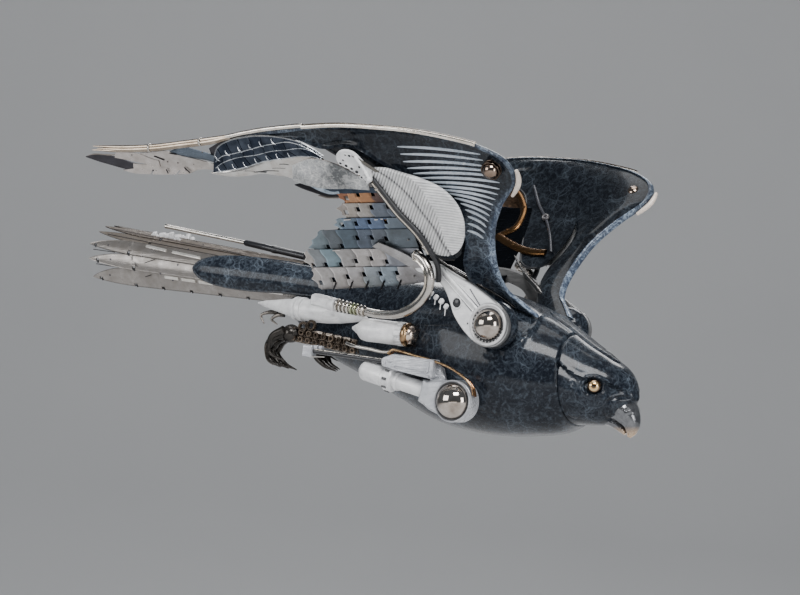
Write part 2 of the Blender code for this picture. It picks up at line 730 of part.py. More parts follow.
def build_rail():
    path = [beside_shell(station, RAIL_RADIUS) for station in RAIL_STATIONS]
    path += [wing_point(x, y) for x, y in RAIL_TIP]
    tapers = [0.6] + [1] * (len(path) - 3) + [0.9, 0.5]
    rail = tube("wing_rail_right", path, RAIL_RADIUS, tapers, sides=6)
    finish(rail, BRIGHT_STEEL)
    mirror_piece(rail)
    path = [beside_shell(station, WING_TAB_RADIUS, 1.45) for station in WING_TAB_STATIONS]
    tab = tube("wing_tab_right", path, WING_TAB_RADIUS, (0.6, 1, 1, 0.6), 6)
    finish(tab, WHITE_CAST)
    mirror_piece(tab)


def feather_row(root, tip, width, out, notches, root_share=0.8, tip_share=0.2):
    """One notched blade of the wing, from its root to its tip."""
    start = wing_point(*root, out)
    along = wing_point(*tip, out) - start
    frame = axis_frame(start, along, wing_axes()[2])
    outline = blade_outline(along.length, unit(width), root_share, notches, tip_share)
    return plate("blade", outline, FEATHER_THICKNESS, frame)


def build_feathers():
    # Primaries: long blades under the rail, each a step nearer the underside
    primaries = []
    for k, tip in enumerate(PRIMARY_TIPS):
        root = [start + step * k for start, step in zip(PRIMARY_ROOT, PRIMARY_ROOT_STEP)]
        out = FEATHER_STEP * (k - len(PRIMARY_TIPS))
        primaries.append(feather_row(root, tip, PRIMARY_WIDTH, out, 1, 0.8, 0.3))
    mirror_piece(finish(join("primary_feathers_right", primaries), BLADE_STEEL))
    # Coverts: curved bands between the shell and the long feathers
    coverts = []
    low = np.array(COVERT_LOW, float)
    high = np.array(COVERT_HIGH, float)
    for k in range(COVERT_BANDS):
        lower = low + (high - low) * k / COVERT_BANDS
        upper = low + (high - low) * (k + COVERT_OVERLAP) / COVERT_BANDS
        outline = [tuple(point) for point in lower] + [tuple(point) for point in upper[::-1]]
        out = FEATHER_THICKNESS * 2 + FEATHER_STEP * 0.8 * k
        coverts.append(wing_plate("band", outline, out, FEATHER_THICKNESS))
    mirror_piece(finish(join("covert_feathers_right", coverts), BLUED_BLADE))
    # Secondaries: notched rows from the arm's edge backwards, and the flat bar that ties them
    blades = []
    spar = []
    for k, (root_along, root_up, tip_along, tip_up, width, notches) in enumerate(SECONDARIES):
        out = FEATHER_STEP * (k / 2 - 4)
        root = (root_along, root_up)
        blades.append(feather_row(root, (tip_along, tip_up), width, out, notches, 0.95, 0.16))
        spar.append(wing_point(root_along + SPAR_INSET, root_up, -FEATHER_STEP * 2.5))
    blades.append(tube("spar", spar, SPAR_RADIUS, sides=4))
    blades.append(feather_row(TIE_BAR[:2], TIE_BAR[2:4], TIE_BAR[4], -FEATHER_STEP, 0, 0.9, 0.1))
    mirror_piece(finish(join("secondary_feathers_right", blades), BLADE_STEEL))


def build_wing_links():
    pale = wing_plate("feather_plate_right", PLATE_OUTLINE, FEATHER_PLATE_OUT, PLATE_THICKNESS)
    mirror_piece(finish(pale, WHITE_CAST))
    link = wing_plate("finger_link_right", LINK_OUTLINE, LINK_OUT, LINK_THICKNESS)
    holes = []
    for along, up in LINK_HOLES:
        low = wing_point(along, up, LINK_OUT - LINK_THICKNESS)
        high = wing_point(along, up, LINK_OUT + LINK_THICKNESS)
        holes.append(rod("hole", low, high, LINK_HOLE_RADIUS, segments=6))
    mirror_piece(finish(cut(link, holes), WHITE_CAST))
    shift = unit(PUSH_ROD_PITCH)
    pair = []
    for side in (-1, 1):
        path = [wing_point(x, y, PUSH_ROD_OUT + rise) + wing_axes()[0] * shift * side * 0.5
                for x, y, rise in PUSH_ROD_LINE]
        pair.append(tube("push", path, PUSH_ROD_RADIUS, sides=6))
    mirror_piece(finish(join("push_rod_right", pair), BRIGHT_STEEL))


# Shoulder arm and the bent pipe

def build_arm():
    shoulder = unit(*SHOULDER_POINT)
    elbow = unit(*ELBOW_POINT)
    frame = axis_frame(elbow, shoulder - elbow, (0, -1, 0))
    reach = (shoulder - elbow).length
    ring = SHOULDER_BALL_RADIUS + FIT_GAP + ARM_RING_WIDTH
    outline = []
    for a in np.radians(np.linspace(-110, 110, 10)):
        outline.append((reach + ring * math.cos(a), ring * math.sin(a)))
    for a in np.radians(np.linspace(105, 255, 4)):
        outline.append((ARM_END_RADIUS * math.cos(a) * 0.5, ARM_END_RADIUS * math.sin(a)))
    arm = plate("upper_arm_right", outline, ARM_THICKNESS, frame)
    cuts = [bore(shoulder, (0, 1, 0), SHOULDER_BALL_RADIUS, 4 * SHOULDER_BALL_RADIUS)]
    for k in range(4):
        spot = frame @ Vector((reach - ring - unit(3.5 + 6.5 * (k // 2)), unit(3.2 - 6.4 * (k % 2)), 0))
        cuts.append(rod("hole", spot + Vector((0, ARM_THICKNESS, 0)), spot - Vector((0, ARM_THICKNESS, 0)),
                        ARM_HOLE_RADIUS, segments=6))
    arm = seat_on_body(cut(arm, cuts))
    mirror_piece(finish(arm, WHITE_CAST))
    head = ball("shoulder_ball_right", shoulder, SHOULDER_BALL_RADIUS)
    stub = rod("stub", shoulder, shoulder + Vector((0, 3 * SHOULDER_BALL_RADIUS, 0)), SHOULDER_STUB_RADIUS)
    mirror_piece(finish(seat_on_body(join("shoulder_ball_right", [head, stub])), POLISHED))


def build_pipe():
    path = [unit(*point) for point in PIPE_LINE]
    pipe = tube("bent_pipe_right", path, PIPE_RADIUS, sides=6)
    start = path[-1]
    end = unit(*FERRULE_POINT)
    along = (end - start).normalized()
    length = (end - start).length - FIT_GAP
    pitch = length / (2 * BELLOWS_RINGS)
    profile = [(0, -pitch), (PIPE_RADIUS * 0.8, -pitch)]
    for k in range(BELLOWS_RINGS):
        base = 2 * k * pitch
        profile += [(PIPE_RADIUS * 1.05, base), (BELLOWS_RADIUS, base + pitch * 0.5),
                    (BELLOWS_RADIUS, base + pitch * 1.2)]
    profile += [(PIPE_RADIUS * 1.05, length), (0, length)]
    bellows = turned("bellows", profile, start, along, 8)
    mirror_piece(finish(join("bent_pipe_right", [pipe, bellows]), BRIGHT_STEEL))
    far = end + (unit(*FERRULE_END) - end).normalized() * FERRULE_LENGTH
    frame = axis_frame((end + far) / 2, far - end)
    block = box("pipe_ferrule_right", (FERRULE_LENGTH, FERRULE_WIDTH, FERRULE_WIDTH), frame)
    bevel = block.modifiers.new("edges", "BEVEL")
    bevel.width = FERRULE_WIDTH * 0.18
    bevel.segments = 1
    block = to_mesh(block)
    mirror_piece(finish(seat_on_body(block), WHITE_CAST))


# Legs

def build_leg():
    knee = unit(*KNEE_POINT)
    shin_end = unit(*SHIN_END)
    back = (shin_end - knee).normalized()
    frame = axis_frame(knee, back, (0, -1, 0))
    ring = KNEE_BALL_RADIUS + FIT_GAP + KNEE_RING_WIDTH
    outline = []
    for a in np.radians(np.linspace(70, 290, 10)):
        outline.append((ring * math.cos(a), ring * math.sin(a)))
    outline += [(unit(THIGH_END), -SHIN_RADIUS * 1.25), (unit(THIGH_END), SHIN_RADIUS * 1.4),
                (unit(THIGH_SHOULDER), SHIN_RADIUS * 1.9)]
    thigh = plate("thigh_housing_right", outline, THIGH_THICKNESS, frame)
    socket = bore(knee, (0, 1, 0), KNEE_BALL_RADIUS, 4 * KNEE_BALL_RADIUS)
    shin_seat = knee + back * unit(SHIN_SEAT)
    shin_hole = rod("hole", shin_seat - back * FIT_GAP, shin_end, SHIN_RADIUS + FIT_GAP)
    thigh = seat_on_body(cut(thigh, [socket, shin_hole]))
    mirror_piece(finish(thigh, GREY_CAST))
    stub = rod("stub", knee, knee + Vector((0, 2.5 * KNEE_BALL_RADIUS, 0)), SHOULDER_STUB_RADIUS)
    knee_ball = seat_on_body(join("knee_ball_right", [ball("ball", knee, KNEE_BALL_RADIUS), stub]))
    mirror_piece(finish(knee_ball, POLISHED))
    shin = rod("shin", shin_seat, shin_end, SHIN_RADIUS)
    middle = knee + back * unit(CLAMP_PLACE)
    clamp = rod("clamp", middle, middle + back * CLAMP_WIDTH, CLAMP_RADIUS, segments=12)
    mirror_piece(finish(seat_on_body(join("shin_tube_right", [shin, clamp])), WHITE_CAST))
    build_actuator(frame, back)


def build_actuator(frame, back):
    """The flat drive box above the shin, with its rod and end block behind it."""
    lift = SHIN_RADIUS + ACTUATOR_HEIGHT / 2 + FIT_GAP
    centre = frame @ Vector((unit(ACTUATOR_PLACE), 0, 0)) + Vector((0, -unit(3), lift + unit(1.5)))
    body = box("box", (unit(ACTUATOR_LENGTH), ACTUATOR_WIDTH, ACTUATOR_HEIGHT), axis_frame(centre, back))
    bevel = body.modifiers.new("edges", "BEVEL")
    bevel.width = 0.001
    bevel.segments = 1
    body = to_mesh(body)
    start = centre + back * unit(16)
    end = unit(*ACTUATOR_END)
    drive = rod("drive", start, end, ACTUATOR_ROD_RADIUS, segments=6)
    block = box("block", (unit(9), unit(7), unit(8)), axis_frame(end, end - start))
    actuator = join("leg_actuator_right", [body, drive, block])
    clear = rod("clear", unit(*KNEE_POINT), unit(*SHIN_END) + back * 0.01, SHIN_RADIUS + FIT_GAP)
    clamp_at = unit(*KNEE_POINT) + back * unit(CLAMP_PLACE)
    clear_start = clamp_at - back * FIT_GAP * 2
    clear_end = clamp_at + back * (CLAMP_WIDTH + FIT_GAP * 2)
    clear_clamp = rod("clear", clear_start, clear_end, CLAMP_RADIUS + FIT_GAP, segments=12)
    mirror_piece(finish(seat_on_body(cut(actuator, [clear, clear_clamp])), GREY_CAST))


def build_tarsus():
    start = unit(*TARSUS_START)
    end = unit(*TARSUS_END)
    along = (end - start).normalized()
    length = (end - start).length
    r = TARSUS_RADIUS
    profile = [(0, 0), (r * 0.45, 0), (r * 0.9, r * 0.5), (r, r * 0.9), (r, length - NUT_LENGTH),
               (r * 0.86, length - NUT_LENGTH), (r * 0.86, length), (0, length)]
    tarsus = turned("tarsus_cylinder_right", profile, start, along)
    mirror_piece(finish(seat_on_body(tarsus), WHITE_CAST))
    seat = end + along * FIT_GAP
    profile = [(0, 0), (r * 1.04, 0), (r * 1.04, NUT_LENGTH * 0.5)]
    for a in np.linspace(0, math.pi / 2, 3)[:-1]:
        profile.append((DOME_RADIUS * math.cos(a), NUT_LENGTH * 0.5 + DOME_RADIUS * math.sin(a)))
    profile.append((0, NUT_LENGTH * 0.5 + DOME_RADIUS))
    dome = turned("tarsus_dome_right", profile, seat, along)
    mirror_piece(finish(seat_on_body(dome), BRONZE))


def build_vent():
    """A white torpedo tube under the tail, with a ring near its widest place."""
    start = unit(*VENT_TIP)
    end = unit(*VENT_END)
    length = (end - start).length
    r = VENT_RADIUS
    profile = [(0, 0), (r * 0.3, length * 0.01), (r * 0.86, length * 0.3), (r * 1.08, length * 0.31),
               (r * 1.08, length * 0.36), (r, length * 0.37), (r * 0.98, length * 0.5),
               (r * 0.6, length * 0.8), (r * 0.2, length * 0.985), (0, length)]
    vent = seat_on_body(turned("vent_tube_right", profile, start, end - start))
    mirror_piece(finish(vent, WHITE_CAST))


def build_foot():
    """Clenched talons behind the perforated claw links."""
    palm = unit(*PALM_POINT)
    link_frame = axis_frame(unit(*CLAW_LINK_POINT), unit(*CLAW_LINK_RUN))
    pieces = [ball("palm", palm, unit(8), 8, 5), box("links", unit(*CLAW_LINK_SIZE), link_frame)]
    for k in range(TALON_COUNT):
        spread = TALON_SPREAD * (k - 0.9)
        path = [palm + unit(0, spread * 0.3, 0),
                palm + unit(-10 - 2 * k, spread * 0.8, -2 - 3 * k),
                palm + unit(-18 - k, spread, -9 - 3 * k),
                palm + unit(-17 + 2 * k, spread, -20 - 1.5 * k),
                palm + unit(-6 + 3 * k, spread, -27 - k)]
        pieces.append(tube("talon", path, TALON_RADIUS, (1, 1, 0.9, 0.6, 0.15), sides=4))
    foot = join("foot_right", pieces)
    slots = []
    for place in CLAW_SLOTS:
        half = Vector((0, unit(CLAW_LINK_SIZE[1]) * 1.7, 0))
        middle = unit(*place)
        slots.append(rod("slot", middle - half, middle + half, unit(CLAW_SLOT_RADIUS), segments=6))
    mirror_piece(finish(seat_on_body(cut(foot, slots)), DARK_IRON))


clear_scene()
PARTS = make_collection("mechanical_falcon")
CUTTERS = make_collection("cutters")
ENAMEL = make_material("marbled_enamel", (0.025, 0.04, 0.07), 0.22, 0.6)
POLISHED = make_material("polished_ball", (0.62, 0.58, 0.54), 0.08, 1.0)
BRIGHT_STEEL = make_material("bright_steel", (0.55, 0.53, 0.5), 0.22, 1.0)
BLADE_STEEL = make_material("blade_steel", (0.36, 0.35, 0.35), 0.38, 1.0)
BLUED_BLADE = make_material("blued_blade", (0.12, 0.15, 0.2), 0.32, 1.0)
WHITE_CAST = make_material("white_cast", (0.75, 0.75, 0.77), 0.4, 0.1)
GREY_CAST = make_material("grey_cast", (0.42, 0.44, 0.47), 0.45, 0.3)
BRONZE = make_material("bronze", (0.5, 0.42, 0.27), 0.3, 1.0)
DARK_ROD = make_material("dark_rod", (0.02, 0.02, 0.025), 0.35, 0.4)
DARK_IRON = make_material("dark_iron", (0.05, 0.045, 0.04), 0.4, 0.9)
EYE_GOLD = make_material("eye_gold", (0.7, 0.42, 0.12), 0.15, 0.8)
BILL = make_material("bill", (0.25, 0.24, 0.24), 0.25, 0.8)

build_body()
build_crown_plate()
build_beak()
build_tail()
build_wing_shell()
build_rail()
build_feathers()
build_wing_links()
build_arm()
build_pipe()
build_leg()
build_tarsus()
build_vent()
build_foot()
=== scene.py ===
import json
import math

import bmesh
import bpy
import numpy as np
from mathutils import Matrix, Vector


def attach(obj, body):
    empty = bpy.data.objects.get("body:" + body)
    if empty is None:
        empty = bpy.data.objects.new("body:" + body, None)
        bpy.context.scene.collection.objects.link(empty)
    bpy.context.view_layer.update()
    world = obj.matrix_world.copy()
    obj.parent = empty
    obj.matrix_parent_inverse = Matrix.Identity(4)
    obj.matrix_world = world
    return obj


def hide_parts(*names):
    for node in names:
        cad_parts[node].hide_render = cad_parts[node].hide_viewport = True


bl_info = {
    "name": "Mechanical Falcon",
    "version": (1, 0, 0),
    "blender": (4, 5, 0),
    "location": "3D View > Sidebar > Falcon",
    "description": "Dresses the flying falcon's shells, blades, rods and balls and sets its stage",
    "category": "Object",
}

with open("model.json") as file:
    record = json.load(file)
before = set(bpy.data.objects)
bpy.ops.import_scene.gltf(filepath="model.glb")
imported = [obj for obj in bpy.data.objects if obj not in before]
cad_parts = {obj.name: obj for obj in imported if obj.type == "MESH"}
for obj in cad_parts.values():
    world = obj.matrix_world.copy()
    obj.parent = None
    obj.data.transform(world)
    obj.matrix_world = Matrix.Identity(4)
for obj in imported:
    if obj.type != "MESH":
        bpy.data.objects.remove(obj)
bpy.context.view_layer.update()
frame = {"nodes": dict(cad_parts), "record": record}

# Every shape below is worked out in millimetres: +X to the beak, +Y to the bird's left, +Z up,
# from the centre of the hanging pad's flat top. Pieces are made on the right side and mirrored.
MM = 0.001
GAP = 0.3
LEFT, RIGHT, UP = (0, 1, 0), (0, -1, 0), (0.0, 0.0, 1.0)

BACK = ((-172, 8), (-150, 14), (-137, 13), (-97, 6), (-49, -1), (0, -4), (44, -13), (85, -28.5),
        (108, -42), (128, -56.5), (145, -68), (158, -79), (162, -85.5), (164.3, -93))
BELLY = ((-172, -8), (-150, -27), (-137, -42), (-112, -62), (-80, -78), (-40, -98), (0, -117),
         (30, -124), (78, -126.5), (103, -124), (117, -118.5), (128, -118.5), (140, -118),
         (148, -114.5), (156, -108.5), (160.5, -105), (164.3, -100))
FLANK = ((-172, 11), (-150, 16), (-137, 18), (-100, 24), (-60, 35), (-20, 46), (0, 51), (45, 57),
         (75, 54), (98, 46), (115, 38), (128, 33), (141, 27), (152, 20), (160, 12), (164.3, 4.5))
SECTION_POWER = 2.3
NECK_X = 116.0
EYE = (141.0, -24.0, -89.0)
BROW = ((104, -64), (111, -67.5), (118, -72), (125, -77.5), (133, -82), (140, -83), (147, -84.5),
        (156, -89), (163, -93.5), (170, -97))
SHOULDER = np.array((73.0, -62.0, -42.5))
UPPER_BILL = ((138, -106, 8, 15), (146, -105, 10, 14.5), (152.5, -106.5, 11.2, 12.5),
              (157.3, -111.5, 9.4, 10), (160.2, -117.5, 6.4, 7), (160.2, -122.8, 4, 4.2),
              (158, -127.4, 1.2, 1.3))
LOWER_BILL = ((138, -113.5, 4.5, 9), (146, -116.5, 4, 8), (151, -120.8, 3, 5),
              (154.5, -125, 1.2, 2))

WRIST = np.array((103.0, -111.0, 69.0))
ALONG = np.array((0.99889, 0.04711, 0.0))
UPWARD = np.array((0.02767, -0.58671, 0.80933))
OUTWARD = np.array((0.03812, -0.80843, -0.58736))
LEAN = ((-131, 9), (-106, 7), (-85, 5), (-55, 3), (-28, 0), (60, 0))
LEAN_WAY = np.array((-0.544, 0.838, 0.052))
SHELL_EDGES = ((0, -130, -34, -130), (-10, -118, -42, -112), (-19, -106, -48, -95),
               (-21, -84, -48, -78), (-14, -55, -40, -60), (-1, -32, -38, -43), (17, -11, -45, -26),
               (15, 7, -59, -10), (-2, 20, -77, 2), (-24, 28.5, -91, 13), (-55, 37, -104, 24),
               (-88, 42.5, -117, 28), (-117, 46, -137, 28), (-148, 46.5, -156, 37),
               (-180, 45.5, -182, 39), (-206, 43, -207, 38))

TAIL_ENDS = (-150.0, -347.0)
TAIL_HEIGHTS = (-3.0, 27.0)
TAIL_RADII = (19.5, 27.5)


class FalconSizes(bpy.types.PropertyGroup):
    """Sizes of the fine work on the falcon"""
    seam_width: bpy.props.FloatProperty(
        name="Seam Width", default=0.0009, unit="LENGTH",
        description="Width of the groove along the flanks")
    rolled_edge: bpy.props.FloatProperty(
        name="Rolled Edge", default=0.0024, unit="LENGTH",
        description="Radius of the rolled leading edge of the wing skins")
    rib_height: bpy.props.FloatProperty(
        name="Rib Height", default=0.0012, unit="LENGTH",
        description="Height of the ribs inside the wing skins")
    rivet_radius: bpy.props.FloatProperty(
        name="Rivet Radius", default=0.0009, unit="LENGTH",
        description="Radius of the rivets on the crown plate")


class FalconColours(bpy.types.PropertyGroup):
    """Colours of the falcon's finishes"""
    enamel: bpy.props.FloatVectorProperty(
        name="Enamel", default=(0.0055, 0.0075, 0.012), size=3, subtype="COLOR",
        min=0, max=1, description="Deep colour of the marbled shells")
    veins: bpy.props.FloatVectorProperty(
        name="Veins", default=(0.095, 0.118, 0.146), size=3, subtype="COLOR",
        min=0, max=1, description="Colour of the veins in the marbled shells")
    steel: bpy.props.FloatVectorProperty(
        name="Steel", default=(0.62, 0.60, 0.57), size=3, subtype="COLOR",
        min=0, max=1, description="Colour of the bright steel")
    cast: bpy.props.FloatVectorProperty(
        name="White Casting", default=(0.87, 0.87, 0.87), size=3, subtype="COLOR",
        min=0, max=1, description="Colour of the white castings")
    bronze: bpy.props.FloatVectorProperty(
        name="Bronze", default=(0.42, 0.29, 0.16), size=3, subtype="COLOR",
        min=0, max=1, description="Colour of the bronze trims")


# Curves and surfaces

HOOP_SIDES = 12


def smooth_line(points, x):
    """A smooth curve through (x, value) points at an array x: cubic pieces that share their
    slopes."""
    xs, ys = np.array(points, float).T
    slopes = np.gradient(ys, xs)
    i = np.clip(np.searchsorted(xs, x) - 1, 0, len(xs) - 2)
    span = xs[i + 1] - xs[i]
    t = np.clip((x - xs[i]) / span, 0, 1)
    rise = ys[i] * (1 + 2 * t) * (1 - t) ** 2 + ys[i + 1] * t * t * (3 - 2 * t)
    return rise + span * (slopes[i] * t * (1 - t) ** 2 - slopes[i + 1] * t * t * (1 - t))


def step(low, high, x):
    """A smooth step: 0 below low, 1 above high, t*t*(3-2t) between."""
    t = np.clip((x - low) / (high - low), 0, 1)
    return t * t * (3 - 2 * t)


def bell(far, width):
    """A bell of height 1 over far = 0: exp(-(far / width)^2)."""
    return np.exp(-(far / width) ** 2)


def unit(way):
    """A vector, or rows of vectors, at length 1."""
    way = np.array(way, float)
    return way / np.linalg.norm(way, axis=-1, keepdims=True)


def square_to(way):
    """Two unit vectors square to the unit vector way and to each other."""
    side = unit(np.cross(way, (0.1, 0.2, 1.0) if abs(way[2]) < 0.9 else (1.0, 0.1, 0)))
    return side, np.cross(way, side)


def circle(side, over, sides):
    """Unit vectors round a circle in the plane of side and over."""
    turn = np.linspace(0, 2 * math.pi, sides, endpoint=False)[:, None]
    return side * np.cos(turn) + over * np.sin(turn)


def flow(points, count):
    """count points along a smooth curve through points, evenly spaced by their chord lengths."""
    points = np.array(points, float)
    far = np.concatenate([[0], np.cumsum(np.linalg.norm(np.diff(points, axis=0), axis=1))])
    at = np.linspace(0, far[-1], count)
    return np.stack([smooth_line(np.stack([far, column], 1), at) for column in points.T], 1)


def sheet(points, wrap=False, caps=False, tint=None):
    """A surface from a grid of points (rows, columns, 3); wrap joins the last column to the first,
    and caps closes the first and last rows."""
    rows, columns = points.shape[:2]
    index = np.arange(rows * columns).reshape(rows, columns)
    if wrap:
        index = np.concatenate([index, index[:, :1]], 1)
    quads = np.stack([index[:-1, :-1], index[1:, :-1], index[1:, 1:], index[:-1, 1:]],
                     -1).reshape(-1, 4)
    faces = quads.tolist()
    if caps:
        faces += [index[0, :columns].tolist(), index[-1, :columns].tolist()[::-1]]
    paint = np.ones((rows * columns, 3)) if tint is None else np.broadcast_to(
        tint, (rows, columns, 3)).reshape(-1, 3)
    return points.reshape(-1, 3), faces, paint


def pool(shapes):
    """Several shapes as one."""
    verts, faces, paints, start = [], [], [], 0
    for points, polygons, paint in shapes:
        verts.append(points)
        paints.append(paint)
        faces += [[start + i for i in polygon] for polygon in polygons]
        start += len(points)
    return np.concatenate(verts), faces, np.concatenate(paints)


def swell(points, amount):
    """The grid moved along its own normals by amount: the cross product of its two gradients."""
    across = np.gradient(points, axis=1)
    along = np.gradient(points, axis=0)
    normal = np.cross(along, across)
    normal /= np.maximum(np.linalg.norm(normal, axis=-1, keepdims=True), 1e-9)
    return points + normal * amount[..., None]


def bar(path, radius, sides=12, ref=(0, 0, 1), flat=1.0, tint=None):
    """A round or oval bar along a path: circles square to it, of one radius or one for each point,
    with the side that faces across ref narrowed by flat."""
    path = np.array(path, float)
    tangent = unit(np.gradient(path, axis=0))
    side = unit(np.cross(tangent, ref))
    over = np.cross(side, tangent)
    radius = np.broadcast_to(np.array(radius, float), len(path))[:, None, None]
    ring = circle(side[:, None], over[:, None] * flat, sides)
    return sheet(path[:, None] + ring * radius, wrap=True, caps=True, tint=tint)


def turned(profile, start, way, sides=32, tint=None):
    """A profile of (radius, height) spun about the axis that leaves start along way."""
    profile = np.array(profile, float)
    profile[:, 0] = np.maximum(profile[:, 0], 0.02)
    way = unit(way)
    ring = circle(*square_to(way), sides)
    points = (np.array(start, float) + way * profile[:, 1][:, None, None]
              + ring[None] * profile[:, 0][:, None, None])
    return sheet(points, wrap=True, caps=True, tint=tint)


def ball(centre, radius, sides=40, way=LEFT, tint=None):
    """A sphere: a half circle spun about way."""
    a = np.linspace(-math.pi / 2, math.pi / 2, sides // 2)
    return turned(np.stack([radius * np.cos(a), radius * np.sin(a)], 1), centre, way, sides, tint)


def plug(start, way, radius, long, sides=16):
    """A plain round plug from start along way: a square profile, turned."""
    return turned(((0, 0), (radius, 0), (radius, long), (0, long)), start, way, sides)


def hoop(centre, way, radius, thick, sides=40, tall=None, tint=None):
    """A ring round way: a small circle, or an oval of height tall, carried round a big one."""
    tall = thick if tall is None else tall
    a = np.linspace(0, 2 * math.pi, HOOP_SIDES, endpoint=False)
    way = unit(way)
    out = circle(*square_to(way), sides)
    points = (np.array(centre, float) + out[:, None] * (radius + thick * np.cos(a))[None, :, None]
              + way * (tall * np.sin(a))[None, :, None])
    points = np.concatenate([points, points[:1]])
    verts, faces, paint = sheet(points, wrap=True, tint=tint)
    keep = len(out) * len(a)
    return verts[:keep], [[i % keep for i in f] for f in faces], paint[:keep]


def slab(outline, thick, place, bevel=0.35, tint=None):
    """A flat plate with softened edges: its outline set in by bevel at both faces, and put in its
    place by place(x, y, height)."""
    outline = np.array(outline, float)
    before, after = np.roll(outline, 1, 0), np.roll(outline, -1, 0)
    run = unit(after - before)
    inwards = np.stack([-run[:, 1], run[:, 0]], 1)
    area = np.sum(outline[:, 0] * after[:, 1] - after[:, 0] * outline[:, 1])
    inwards *= np.sign(area)
    inset = outline + inwards * bevel
    rings = [(inset, -thick / 2), (outline, -thick / 2 + bevel), (outline, thick / 2 - bevel),
             (inset, thick / 2)]
    points = np.stack([place(ring[:, 0], ring[:, 1], np.full(len(ring), height))
                       for ring, height in rings])
    return sheet(points, wrap=True, caps=True, tint=tint)


def plane_at(origin, x_way, out_way):
    """A place function for flat work: x along x_way, height along out_way, y square to both."""
    x_way = unit(x_way)
    out_way = unit(out_way - x_way * (np.array(out_way, float) @ x_way))
    y_way = np.cross(out_way, x_way)
    origin = np.array(origin, float)

    def place(x, y, height):
        x, y, height = [np.asarray(n, float)[..., None] for n in (x, y, height)]
        return origin + x * x_way + y * y_way + height * out_way
    return place


# The finishes by name
FINISH = {}
SHARP_ANGLE = math.radians(34)


def mirrored(shape):
    """The shape on the bird's other side."""
    verts, faces, paint = shape
    return verts * (1, -1, 1), [face[::-1] for face in faces], paint


def make_piece(name, shape, finish, replaces=None):
    """One object in the row's frame: its normals turned outwards, its colours in the tint
    attribute, and its finish."""
    verts, faces, paint = shape
    mesh = bpy.data.meshes.new(name)
    mesh.from_pydata((verts * MM).tolist(), [], faces)
    mesh.validate()
    work = bmesh.new()
    work.from_mesh(mesh)
    bmesh.ops.recalc_face_normals(work, faces=work.faces)
    work.to_mesh(mesh)
    work.free()
    tint = mesh.color_attributes.new("tint", "FLOAT_COLOR", "POINT")
    tint.data.foreach_set("color", np.concatenate([paint, np.ones((len(paint), 1))], 1).ravel())
    mesh.materials.append(FINISH[finish])
    mesh.shade_smooth()
    mesh.set_sharp_from_angle(angle=SHARP_ANGLE)
    obj = bpy.data.objects.new(name, mesh)
    bpy.context.scene.collection.objects.link(obj)
    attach(obj, "root")
    if replaces:
        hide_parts(replaces)


def make_pair(name, shape, finish, replaces=None):
    """A piece, of one shape or a list, and its mirror copy, which stand for the right and left CAD
    nodes of one name."""
    shape = pool(shape) if isinstance(shape, list) else shape
    for side, form in (("right", shape), ("left", mirrored(shape))):
        make_piece(f"{name}_{side}", form, finish, replaces and f"{replaces}_{side}")


# Materials

def new_group(name, inputs, outputs):
    """A shader node group with float, vector or colour sockets."""
    group = bpy.data.node_groups.new(name, "ShaderNodeTree")
    for socket, kind, value in inputs:
        made = group.interface.new_socket(socket, in_out="INPUT", socket_type=kind)
        if value is not None:
            made.default_value = value
    for socket, kind in outputs:
        group.interface.new_socket(socket, in_out="OUTPUT", socket_type=kind)
    return group, group.nodes.new("NodeGroupInput"), group.nodes.new("NodeGroupOutput")


def add(tree, kind, links=None, **settings):
    """A node with its settings, its plain socket values and the links into it."""
    node = tree.nodes.new(kind)
    for key, value in settings.items():
        setattr(node, key, value)
    for key, value in (links or {}).items():
        socket = node.inputs[key]
        if isinstance(value, bpy.types.NodeSocket):
            tree.links.new(value, socket)
        else:
            socket.default_value = value
    return node


def ramp(tree, fac, stops):
    """A colour ramp over fac through (place, grey or colour) stops."""
    node = add(tree, "ShaderNodeValToRGB", {"Fac": fac})
    while len(node.color_ramp.elements) < len(stops):
        node.color_ramp.elements.new(0.5)
    for element, (place, colour) in zip(node.color_ramp.elements, stops):
        element.position = place
        element.color = (colour, colour, colour, 1) if isinstance(colour,
                (int, float)) else (*colour, 1)
    return node.outputs["Color"]


def blend_colour(tree, fac, a, b, kind="MIX"):
    """Two colours mixed by fac."""
    node = add(tree, "ShaderNodeMix", data_type="RGBA", blend_type=kind)
    for socket, value in ((node.inputs["Factor"], fac), (node.inputs[6], a), (node.inputs[7], b)):
        if isinstance(value, bpy.types.NodeSocket):
            tree.links.new(value, socket)
        elif isinstance(value, (int, float)):
            socket.default_value = value
        else:
            socket.default_value = (*value, 1) if len(value) == 3 else value
    return node.outputs[2]


